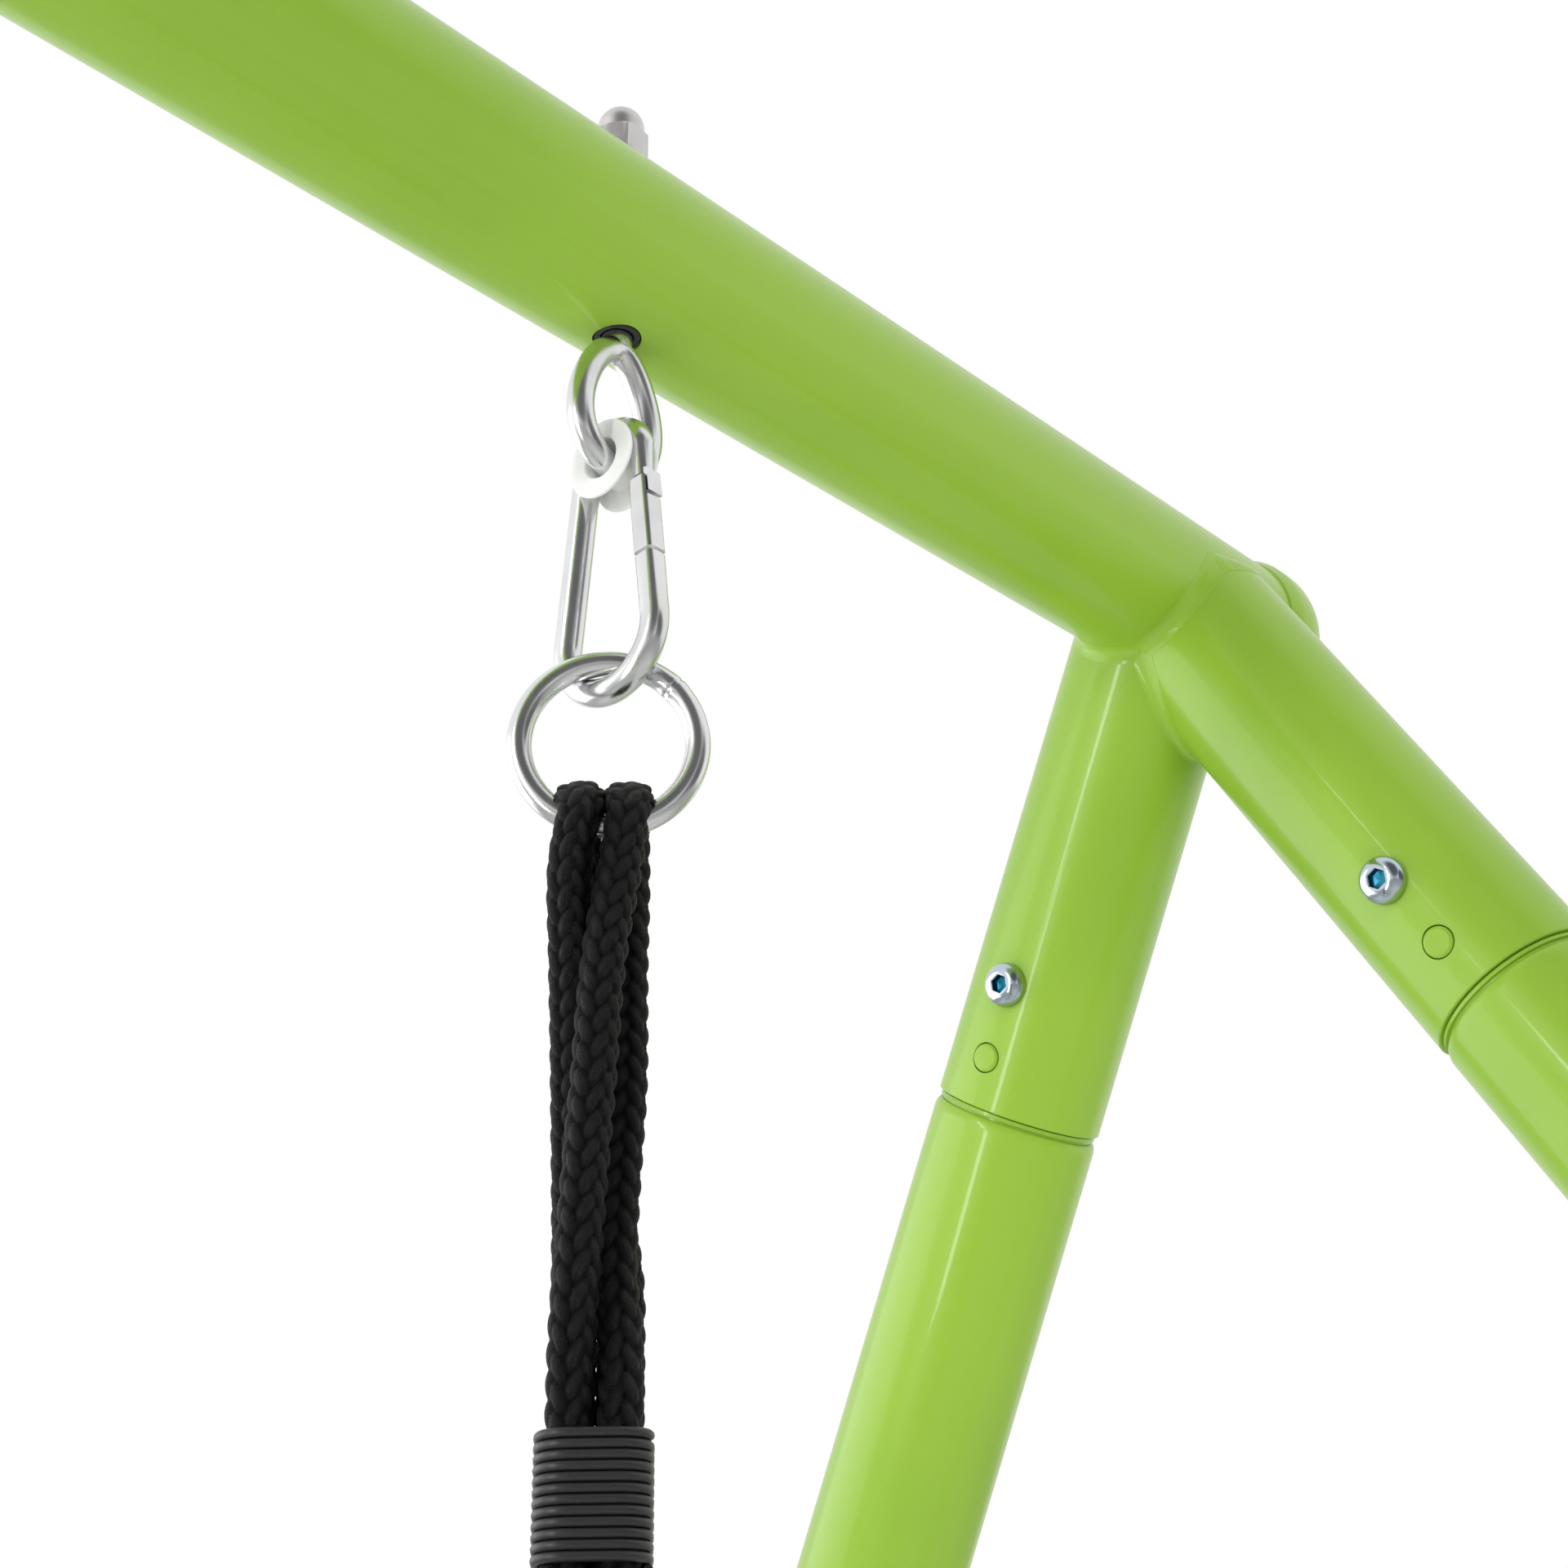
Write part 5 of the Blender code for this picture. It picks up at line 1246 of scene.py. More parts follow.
class SWING_OT_top_beam(bpy.types.Operator):
    """Makes the top beam with its welded sockets, the welds and the end caps"""

    bl_idname = "swing.top_beam"
    bl_label = "Top beam, welds and caps"

    def execute(self, context):
        along = facing(Vector((0, 0, BEAM_HEIGHT)), Vector((1, 0, 0)), Vector((0, 1, 0)))
        half = CORNER_X + BEAM_END
        beam = rod("top_beam", BEAM_R, -half, half, 64, along)
        sockets = []
        for side, end, suffix in corners():
            form = Form()
            ends = [(0, BEAM_R / 4), (BEAM_R / 2, BEAM_R / 4), (LEG_R, SOCKET_TOP)]
            rim = [(LEG_R, SOCKET_END - 0.0003), (LEG_R - 0.0003, SOCKET_END), (0, SOCKET_END)]
            form.turned(ends + rim, 64, leg_frame(side, end), closed=False)
            sockets.append(form.piece(f"socket_{suffix}", None))
        beam = cut(beam, sockets, "UNION")
        tools = [rod("beam_bore", BEAM_R - BEAM_WALL, -2 * half, 2 * half, 48, along)]
        for side, end, suffix in corners():
            base = leg_frame(side, end)
            tools.append(rod(f"socket_bore_{suffix}", LEG_R - LEG_WALL, 0.06, 2 * SOCKET_END, 48, base))
            holes = (("screw", SOCKET_SCREW_AT, SCREW_R), ("button", SOCKET_BUTTON_AT, BUTTON_R))
            for label, down, radius in holes:
                place = fixing_frame(side, end, down)
                tools.append(rod(f"{label}_{suffix}", radius + HOLE_SLACK, LEG_R / 2, 2 * LEG_R, 32, place))
        for side in (-1, 1):
            hole = LINER_R + CLEARANCE
            tools.append(rod(f"eye_{side}", hole, -2 * BEAM_R, 2 * BEAM_R, 32, hanger_frame(side)))
        beam = cut(beam, tools)
        barrels = [(Vector((0, 0, BEAM_HEIGHT)), Vector((1, 0, 0)), BEAM_R)]
        barrels += [(corner_point(side), leg_direction(side, end), LEG_R) for side, end, _ in corners()]
        round_normals(beam, barrels)
        hung_on(beam, ROOT, ("beam",), "paint")
        self.weld(context)
        for side, name in SIDES:
            self.cap(side, name)
        return {"FINISHED"}

    def cap(self, side, name):
        """A domed cap pushed over the beam's end."""
        bore = BEAM_R + CLEARANCE
        outer = bore + CAP_WALL
        start = CORNER_X + BEAM_END - CAP_GRIP
        rim = CORNER_X + BEAM_END
        profile = [(BEAM_R - 0.0003, start), (BEAM_R + 0.0006, start + 0.0004)]
        profile += [(outer, start + 0.004), (outer, rim - 0.002)]
        for i in range(17):
            angle = math.pi / 2 * i / 16
            profile.append((outer * math.cos(angle) if i < 16 else 0, rim + CAP_DOME * math.sin(angle)))
        profile += [(0, rim + CAP_DOME - CAP_WALL), (bore * 0.7, rim + CAP_DOME * 0.62)]
        profile += [(bore - CAP_WALL, rim), (bore, rim), (bore, start + 0.002)]
        form = Form()
        base = facing(Vector((0, 0, BEAM_HEIGHT)), Vector((side, 0, 0)), Vector((0, 1, 0)))
        form.turned(profile, 64, base)
        form.piece(f"domed_cap_{name}", "paint", ROOT, (f"end_cap_{name}",), "frame_paint")

    def weld(self, context):
        """Concave runs of weld where the sockets meet the beam, and where the two of a corner meet."""
        sizes = context.scene.swing_sizes
        recipe = weld_recipe()
        for side, end, suffix in corners():
            strip = self.strip(f"weld_strip_{suffix}", side, end, sizes.weld_leg)
            weld = recipe.run(
                f"weld_{suffix}",
                strip,
                "paint",
                ripple=sizes.weld_ripple,
                ripple_step=WELD_RIPPLE_STEP,
                wander=WELD_WANDER,
                seed=7 + side + 3 * end,
            )
            hung_on(weld, ROOT, (), "paint")

    def seam(self, side, end):
        """Where the socket's wall leaves the beam or the other socket, round the socket.

        Each row: (index, point, socket's normal, other face's normal, whether it meets the other socket)."""
        base = leg_frame(side, end)
        down = leg_direction(side, end)
        found = []
        for i, angle in enumerate(angles_round(240)):
            out = base.to_3x3() @ Vector((math.cos(angle), math.sin(angle), 0))
            ring = out * LEG_R
            flat_ring = Vector((ring.y, ring.z))
            flat_down = Vector((down.y, down.z))
            ease = flat_ring.dot(flat_down)
            room = max(0.0, ease**2 - flat_down.length_squared * (flat_ring.length_squared - BEAM_R**2))
            at_beam = (-ease + math.sqrt(room)) / flat_down.length_squared
            at_other = -ring.y / down.y
            inner = at_other > at_beam
            if inner and end == 1:
                continue
            spot = ring + down * max(at_beam, at_other, SOCKET_TOP)
            if inner:
                other_down = leg_direction(side, -end)
                other = (spot - other_down * spot.dot(other_down)).normalized()
            else:
                other = Vector((0, spot.y, spot.z)).normalized()
            found.append((i, corner_point(side) + spot, out, other, inner))
        if end == 1:
            gap = next(k for k in range(len(found)) if found[k][0] - found[k - 1][0] not in (1, -239))
            found = found[gap:] + found[:gap]
        return found

    def strip(self, name, side, end, leg):
        """The weld's strip: closed, hollow to the outside and sunk into both walls."""
        found = self.seam(side, end)
        down = leg_direction(side, end)
        cyclic = end == -1
        count = len(found)
        corner = corner_point(side)
        rings = []
        steps = 9
        for k, (_, point, out, other, inner) in enumerate(found):
            before = found[k - 1][1] if cyclic or k else point
            after = found[(k + 1) % count][1] if cyclic or k < count - 1 else point
            along = (after - before).normalized()
            on_socket = out.cross(along).normalized()
            if on_socket.dot(down) < 0:
                on_socket = -on_socket
            on_other = other.cross(along).normalized()
            if on_other.dot(out - on_socket * 0.5) < 0:
                on_other = -on_other
            low = self.laid(point + on_socket * leg - corner, down, LEG_R)
            far = leg * (0.8 if inner else 1.0)
            if inner:
                high = self.laid(point + on_other * far - corner, leg_direction(side, -end), LEG_R)
            else:
                high = self.laid(point + on_other * far - corner, Vector((1, 0, 0)), BEAM_R)
            hollow = point - corner + (out + other) * leg * 0.06
            between = (high + low) / 2
            if (point - corner - between).dot(out + other) > 0:
                hollow = (point - corner) * 2.15 - between * 1.15
            ring = []
            for i in range(steps):
                t = i / (steps - 1)
                ring.append(corner + high * (1 - t) ** 2 + hollow * 2 * t * (1 - t) + low * t**2)
            ring += [ring[-1] - out * 0.0009, point - (out + other) * 0.0007, ring[0] - other * 0.0009]
            rings.append(ring)
        form = Form()
        form.rings(rings, closed=cyclic)
        strip = form.piece(name, None)
        run = run_lengths(np.array([tuple(item[1]) for item in found]))
        sides = steps + 3
        rise = [math.sin(math.pi * i / (steps - 1)) for i in range(1, steps - 1)]
        open_side = [0.0, *rise, 0.0, 0.0, 0.0, 0.0]
        for key, values in (("run", np.repeat(run, sides)), ("open_side", np.tile(open_side, count))):
            layer = strip.data.attributes.new(key, "FLOAT", "POINT")
            layer.data.foreach_set("value", values)
        return strip

    def laid(self, spot, axis, radius):
        """The spot moved square to the axis until it lies a hair proud of this radius."""
        along = axis * spot.dot(axis)
        return along + (spot - along).normalized() * (radius + 0.00004)


class SWING_OT_legs(bpy.types.Operator):
    """Makes the leg tubes, the rubber feet and the two crossbars"""

    bl_idname = "swing.legs"
    bl_label = "Legs, feet and crossbars"

    def execute(self, context):
        for side, end, suffix in corners():
            base = leg_frame(side, end)
            for label, top, bottom, shoulder in (
                ("upper", SOCKET_END - SWAGE_LENGTH, MID_JOINT_AT, SOCKET_END),
                ("lower", MID_JOINT_AT - SWAGE_LENGTH, LEG_END, MID_JOINT_AT),
            ):
                form = Form()
                form.turned(self.tube(top, bottom, shoulder), 64, base)
                node = f"leg_{label}_{suffix}"
                form.piece(f"{label}_leg_{suffix}", "paint", ROOT, (node,), "frame_paint", sharp=50)
            self.foot(side, end, suffix)
        for side, name in SIDES:
            self.crossbar(side, name)
        return {"FINISHED"}

    def tube(self, top, bottom, shoulder_at):
        """A tube with a swaged top and a round shoulder."""
        swage = LEG_R - LEG_WALL - CLEARANCE
        neck = shoulder_at + SWAGE_NECK
        profile = [(swage - 0.0006, top), (swage, top + 0.0006), (swage, shoulder_at + 0.0004)]
        profile += [(LEG_R - 0.0011, shoulder_at + 0.0005), (LEG_R - 0.0009, shoulder_at + 0.0016)]
        profile += [(swage + 0.0003, shoulder_at + 0.0018), (swage + 0.0003, neck)]
        for i in range(1, 9):
            angle = math.pi / 2 * i / 8
            rise = swage + (LEG_R - swage) * (0.35 + 0.65 * math.sin(angle))
            profile.append((rise, neck + 0.0002 + SWAGE_SHOULDER * (1 - math.cos(angle))))
        full = neck + SWAGE_SHOULDER
        profile += [(LEG_R, bottom - 0.0004), (LEG_R - 0.0004, bottom), (LEG_R - LEG_WALL, bottom)]
        inside = swage - LEG_WALL
        return [*profile, (LEG_R - LEG_WALL, full + LEG_WALL), (inside, neck + LEG_WALL), (inside, top)]

    def foot(self, side, end, suffix):
        """A ribbed rubber cap, cut level at the ground."""
        bore = LEG_R + CLEARANCE
        outer = bore + FOOT_WALL
        start = LEG_END - FOOT_GRIP
        past_ground = LEG_END + 0.096
        profile = [(outer - FOOT_WALL / 2, start), (outer - 0.0006, start + FOOT_WALL)]
        for i in range(5):
            rib = start + 0.012 + 0.011 * i
            for offset, sunk in ((0, 0), (0.0012, 0.0009), (0.0028, 0.0009), (0.0040, 0)):
                profile.append((outer - sunk, rib + offset))
        end_at = LEG_END + CLEARANCE
        profile += [(outer, past_ground), (0, past_ground), (0, end_at), (bore, end_at), (bore, start)]
        form = Form()
        form.turned(profile, 56, leg_frame(side, end))
        foot = form.piece(f"rubber_foot_{suffix}", None)
        bm = bmesh.new()
        bm.from_mesh(foot.data)
        faces = bm.faces[:] + bm.edges[:] + bm.verts[:]
        ground = {"plane_co": (0, 0, 0), "plane_no": (0, 0, -1), "clear_outer": True}
        cut_line = bmesh.ops.bisect_plane(bm, geom=faces, **ground)
        edges = [item for item in cut_line["geom_cut"] if isinstance(item, bmesh.types.BMEdge)]
        bmesh.ops.holes_fill(bm, edges=edges, sides=0)
        bmesh.ops.recalc_face_normals(bm, faces=bm.faces)
        bm.to_mesh(foot.data)
        bm.free()
        foot.data.set_sharp_from_angle(angle=math.radians(30))
        hung_on(foot, ROOT, (f"foot_{suffix}",), "rubber")

    def crossbar(self, side, name):
        """A round tube with flattened ends."""
        front = crossbar_bolt_frame(side, -1).translation
        rear = crossbar_bolt_frame(side, 1).translation
        normal = crossbar_normal(side)
        middle = (front + rear) / 2 + normal * (LEG_R + CLEARANCE + CROSSBAR_TAB / 2)
        reach = (rear - front).length / 2
        base = axes_at(middle, Vector((0, 1, 0)), normal.cross(Vector((0, 1, 0))), normal)
        tab = (CROSSBAR_TAB_WIDTH / 2, CROSSBAR_TAB / 2)
        stations = []
        for share in (0.80, 0.72, 0.60, 0.45, 0.30):
            wide = tab[0] * (0.62 + 0.38 * min(1.0, (0.80 - share) / 0.35) ** 0.5)
            stations.append((reach + CROSSBAR_TAB_REACH * share, wide, tab[1]))
        stations.append((reach - CROSSBAR_TAB_REACH, *tab))
        for i in range(1, 13):
            t = i / 12
            ease = soft_step(t)
            wide = tab[0] + (CROSSBAR_R - tab[0]) * ease
            thick = tab[1] + (CROSSBAR_R - tab[1]) * ease
            stations.append((reach - CROSSBAR_TAB_REACH - CROSSBAR_TAPER * t, wide, thick))
        stations += [(-at, wide, thick) for at, wide, thick in reversed(stations)]
        rings = [self.oval(base, at, wide, thick) for at, wide, thick in stations]
        for at, wide, thick in reversed(stations):
            rings.append(self.oval(base, at, wide - CROSSBAR_WALL, thick - CROSSBAR_WALL))
        form = Form()
        form.rings(rings, closed=True)
        form.piece(f"cross_tube_{name}", "paint", ROOT, (f"crossbar_{name}",), "frame_paint", sharp=45)

    def oval(self, base, at, wide, thick):
        return [base @ Vector((at, wide * math.cos(a), thick * math.sin(a))) for a in angles_round(40)]


class SWING_OT_fasteners(bpy.types.Operator):
    """Sets the eight button head screws and makes the four snap buttons"""

    bl_idname = "swing.fasteners"
    bl_label = "Screws and snap buttons"

    def execute(self, context):
        recipe = copies_recipe()
        wall = LEG_WALL * 2 + CLEARANCE
        tab = CLEARANCE + CROSSBAR_TAB
        in_sockets = [fixing_frame(side, end, SOCKET_SCREW_AT) for side, end, _ in corners()]
        in_crossbars = [crossbar_bolt_frame(side, end) for side, end, _ in corners()]
        groups = {
            "socket": (LEG_R, wall + SCREW_PAST_WALL, in_sockets),
            "crossbar": (LEG_R + tab, tab + wall + SCREW_PAST_WALL, in_crossbars),
        }
        for label, (seat, through, places) in groups.items():
            pattern = self.screw(seat, through)
            start = places_object(f"{label}_screw_places", places)
            screws = recipe.run(f"{label}_screws", start, "zinc", piece=pattern)
            bpy.data.objects.remove(pattern, do_unlink=True)
            nodes = [f"{label}_screw_{suffix}" for _, _, suffix in corners()]
            hung_on(screws, ROOT, nodes, ("zinc", "recess"))
        for side, end, suffix in corners():
            self.button(side, end, suffix)
        return {"FINISHED"}

    def screw(self, head_at, through):
        """A domed head with a six sided key hole, and its shank."""
        sides = 36
        seat = head_at + CLEARANCE
        top = seat + SCREW_HEAD_H

        def hex_ring(across_flats, height):
            ring = []
            for a in angles_round(sides):
                reach = across_flats / 2 / math.cos((a + math.pi / 6) % (math.pi / 3) - math.pi / 6)
                ring.append(Vector((reach * math.cos(a), reach * math.sin(a), height)))
            return ring

        low = seat - through
        rows = [(SCREW_R, low), (SCREW_R, seat), (SCREW_HEAD_R - 0.0003, seat), (SCREW_HEAD_R, seat + 0.0003)]
        for i in range(9):
            angle = math.pi / 2 * i / 8
            radius = SCREW_FLAT + (SCREW_HEAD_R - SCREW_FLAT) * math.cos(angle)
            rows.append((radius, seat + SCREW_HEAD_H * (0.14 + 0.86 * math.sin(angle))))
        rings = [[Vector((0, 0, low))], *[circle(radius, height, sides, Matrix()) for radius, height in rows]]
        rings.append(hex_ring(SCREW_SOCKET_AF + 0.0005, top))
        rings.append(hex_ring(SCREW_SOCKET_AF, top - 0.0003))
        form = Form()
        form.rings(rings)
        del form.faces[-1]
        del form.looks[-1]
        rings = [hex_ring(SCREW_SOCKET_AF, top - 0.0003), hex_ring(SCREW_SOCKET_AF, top - SCREW_SOCKET_DEPTH)]
        rings.append([Vector((0, 0, top - SCREW_SOCKET_DEPTH - 0.0006))])
        form.rings(rings, look=1)
        end_cap = next(i for i, face in enumerate(form.faces) if len(face) == sides and form.looks[i] == 1)
        del form.faces[end_cap]
        del form.looks[end_cap]
        screw = form.piece("screw_pattern", None)
        screw.data.materials.append(finish_of("zinc"))
        screw.data.materials.append(finish_of("recess"))
        return screw

    def button(self, side, end, suffix):
        """The painted head of a snap button, with its flange inside the leg."""
        top = LEG_R + BUTTON_PROUD
        swage_bore = LEG_R - 2 * LEG_WALL - CLEARANCE
        flange_top = swage_bore - 2 * CLEARANCE - BUTTON_FLANGE_R**2 / (2 * swage_bore)
        low = flange_top - 0.0012
        profile = [(0, top), (BUTTON_R - 0.0008, top), (BUTTON_R, top - 0.0007), (BUTTON_R, flange_top)]
        profile += [(BUTTON_FLANGE_R, flange_top), (BUTTON_FLANGE_R, low), (0, low)]
        form = Form()
        place = fixing_frame(side, end, SOCKET_BUTTON_AT)
        form.turned(eased(profile, 0.0003, closed=False), 40, place, closed=False)
        node = f"snap_button_{suffix}"
        form.piece(f"button_head_{suffix}", "paint", f"button_{suffix}", (node,), "frame_paint")


class SWING_OT_hangers(bpy.types.Operator):
    """Makes the eyebolts, liners, cap nuts, bushes, snap hooks, gates and rings"""

    bl_idname = "swing.hangers"
    bl_label = "Hanger hardware"

    def execute(self, context):
        for side, name in SIDES:
            self.eyebolt(side, name)
            self.liner(side, name)
            self.cap_nut(side, name)
            self.bush(side, name)
            self.hook(side, name)
            self.gate(side, name)
            self.ring(side, name)
        return {"FINISHED"}

    def eyebolt(self, side, name):
        """A pear shaped eye of round wire and its plain shank."""
        middle = -(EYE_NECK_DROP + EYE_BOTTOM_DROP) / 2
        half = (EYE_BOTTOM_DROP - EYE_NECK_DROP) / 2
        path = []
        for angle in angles_round(120):
            across = EYE_HALF_WIDTH * math.sin(angle) * (1 - EYE_TAPER * math.cos(angle))
            path.append(Vector((across, 0, middle + half * math.cos(angle))))
        base = hanger_frame(side)
        form = Form()
        form.swept(path, EYE_WIRE / 2, 28, (0, 1, 0), True, base)
        top = BEAM_R + LINER_HEAD_H + 2 * CLEARANCE + SHANK_IN_NUT
        low = -EYE_NECK_DROP
        profile = [(0, low), (SHANK_R, low), (SHANK_R, top - 0.0008), (SHANK_R - 0.0008, top), (0, top)]
        form.turned(profile, 32, base, closed=False)
        form.piece(f"eye_loop_{name}", "chrome", ROOT, (f"eyebolt_{name}",), "chrome")

    def liner(self, side, name):
        """A black sleeve in the beam's hole, with a saddle head on top of the beam."""
        base = hanger_frame(side)
        bore = SHANK_R + CLEARANCE
        head_top = BEAM_R + CLEARANCE + LINER_HEAD_H
        low = -(EYE_NECK_DROP - EYE_WIRE / 2 - CLEARANCE)
        head = Form()
        sunk = BEAM_R * 0.7
        profile = [(LINER_HEAD_R, sunk), (LINER_HEAD_R, head_top), (bore, head_top), (bore, sunk)]
        head.turned(eased(profile, 0.0005, 4), 56, base)
        top = head.piece(f"saddle_{name}", None)
        along = facing(base.translation, Vector((1, 0, 0)), Vector((0, 1, 0)))
        top = cut(top, [rod(f"saddle_cut_{name}", BEAM_R + CLEARANCE, -0.03, 0.03, 64, along)])
        sleeve = Form()
        profile = [(LINER_R, low), (LINER_R, BEAM_R + 0.002), (bore, BEAM_R + 0.002), (bore, low)]
        sleeve.turned(eased(profile, 0.0003, 2), 40, base)
        tube = sleeve.piece(f"liner_tube_{name}", None)
        liner = cut(tube, [top], "UNION")
        liner.name = f"beam_liner_{name}"
        liner.data.shade_smooth()
        liner.data.set_sharp_from_angle(angle=math.radians(30))
        hung_on(liner, ROOT, (f"hole_liner_{name}",), "plastic")

    def cap_nut(self, side, name):
        """A six sided nut with a chamfered top and a dome."""
        seat = BEAM_R + LINER_HEAD_H + 3 * CLEARANCE
        sides = 60
        base = hanger_frame(side)

        def hex_ring(limit, height):
            """The hexagon, with its corners turned down to this radius."""
            made = []
            for a in angles_round(sides):
                flat = NUT_AF / 2 / math.cos(a % (math.pi / 3) - math.pi / 6)
                reach = min(flat, limit)
                made.append(base @ Vector((reach * math.cos(a), reach * math.sin(a), height)))
            return made

        corner_r = NUT_AF / math.sqrt(3)
        hex_top = seat + NUT_HEX_H
        start = seat + NUT_H - NUT_DOME_R
        rows = [(SHANK_R + CLEARANCE, seat), (corner_r - 0.0006, seat), (corner_r, seat + 0.0005)]
        rows += [(corner_r, seat + NUT_HEX_H - 0.0008), (NUT_AF / 2 + 0.0002, hex_top)]
        rows += [(NUT_DOME_R, seat + NUT_HEX_H + 0.0001), (NUT_DOME_R, start)]
        for i in range(1, 12):
            angle = math.pi / 2 * i / 12
            rows.append((NUT_DOME_R * math.cos(angle), start + NUT_DOME_R * math.sin(angle)))
        rings = [hex_ring(limit, height) for limit, height in rows]
        rings.append([base @ Vector((0, 0, seat + NUT_H))])
        bore_top = seat + SHANK_IN_NUT + 2 * CLEARANCE
        rings += [[base @ Vector((0, 0, bore_top))], hex_ring(SHANK_R + CLEARANCE, bore_top)]
        form = Form()
        form.rings(rings, closed=True)
        form.piece(f"dome_nut_{name}", "nut", ROOT, (f"cap_nut_{name}",), "zinc")

    def bush(self, side, name):
        """A grooved nylon wheel that hangs in the eye and carries the hook."""
        centre = Vector((side * EYE_X, 0, BEAM_HEIGHT - BUSH_DROP))
        half = BUSH_GROOVE / 2
        end = half + BUSH_FLANGE
        profile = [(BUSH_FLANGE_R, -end), (BUSH_FLANGE_R, -half), (BUSH_CORE_R, -half), (BUSH_CORE_R, half)]
        profile += [(BUSH_FLANGE_R, half), (BUSH_FLANGE_R, end), (BUSH_BORE_R + 0.0009, end)]
        profile += [(BUSH_BORE_R, half - 0.0015), (BUSH_BORE_R, 0.0015 - half), (BUSH_BORE_R + 0.0009, -end)]
        form = Form()
        form.turned(eased(profile, 0.00045, 4), 64, facing(centre, Vector((1, 0, 0)), Vector((0, 1, 0))))
        form.piece(f"nylon_bush_{name}", "nylon", SWING, (f"bush_{name}",), "white_nylon", sharp=40)

    def lean(self):
        """How far the hook's straight sides lean out, in radians."""
        return math.asin((HOOK_BOTTOM_R - HOOK_TOP_R) / (HOOK_BOTTOM_DROP - HOOK_BOTTOM_R - BUSH_DROP))

    def side_at(self, drop):
        """The point of the gate's side line at this drop."""
        lean = self.lean()
        z_top = -BUSH_DROP + HOOK_TOP_R * math.sin(lean)
        return Vector((0, -HOOK_TOP_R * math.cos(lean) - (z_top + drop) * math.tan(lean), -drop))

    def pin_frame(self, side):
        """At the gate's pin: X along the pin, Z up the gate."""
        up = (self.side_at(HOOK_NOSE_DROP) - self.side_at(HOOK_PIN_DROP)).normalized()
        across = Vector((1, 0, 0))
        return hanger_frame(side) @ axes_at(self.side_at(HOOK_PIN_DROP), across, up.cross(across), up)

    def hook(self, side, name):
        """The pear shaped hook: round wire, squared where it meets its gate."""
        lean = math.degrees(self.lean())
        low = -(HOOK_BOTTOM_DROP - HOOK_BOTTOM_R)
        top_arc = arc(0, -BUSH_DROP, HOOK_TOP_R, 180 - lean, lean, 40)
        bottom_arc = arc(0, low, HOOK_BOTTOM_R, lean, -180 - lean, 56)
        spine = [top_arc[-1].lerp(bottom_arc[0], i / 12) for i in range(1, 12)]
        end = self.side_at(HOOK_PIN_DROP + GATE_SIDE / 2 + GATE_GAP)
        rise = [bottom_arc[-1].lerp(end, i / 8) for i in range(1, 9)]
        path = [self.side_at(HOOK_NOSE_DROP), *top_arc, *spine, *bottom_arc, *rise]
        total = len(path)

        def section(angle, i):
            """Squared over the last run, round elsewhere."""
            share = max(0.0, (i - (total - 24)) / 23)
            power = 2 + 1.4 * share * share
            bulge = (abs(math.cos(angle)) ** power + abs(math.sin(angle)) ** power) ** (-1 / power)
            return bulge * (1 - 0.11 * share)

        radius = [HOOK_WIRE / 2] * total
        for i, share in enumerate((0.72, 0.90, 0.97)):
            radius[i] = HOOK_WIRE / 2 * share
        form = Form()
        form.swept(path, radius, 32, (1, 0, 0), False, hanger_frame(side), section)
        self.nose_tongue(form, side)
        self.hinge_tongue(form, side)
        form.piece(f"hook_wire_{name}", "chrome", SWING, (f"snap_hook_{name}",), "chrome", sharp=38)

    def nose_tongue(self, form, side):
        """The nose's hooked end, which lies in a step of the gate's outer face."""
        base = self.pin_frame(side)
        top = (self.side_at(HOOK_NOSE_DROP) - self.side_at(HOOK_PIN_DROP)).length
        outer = -GATE_SIDE / 2
        outline = [(outer + 0.0012, top + 0.0015), (outer + 0.0002, top + 0.0012), (outer, top - 0.0056)]
        outline += [(outer + 0.0010, top - 0.0056), (outer + 0.0012, top - 0.0010)]
        half = GATE_SIDE / 2
        form.rings([[base @ Vector((x, y, z)) for y, z in outline] for x in (-half + 0.0012, half - 0.0004)])

    def hinge_tongue(self, form, side):
        """The plate that the gate's fork straddles at its pin."""
        base = self.pin_frame(side)
        radius = GATE_SIDE * 0.3
        turns = [i * math.pi / 12 for i in range(13)]
        outline = [(radius * math.cos(a), radius * math.sin(a)) for a in turns]
        outline += [(-radius, -GATE_SIDE), (radius, -GATE_SIDE)]
        form.rings([[base @ Vector((x, y, z)) for y, z in outline] for x in (-0.0012, 0.0012)])

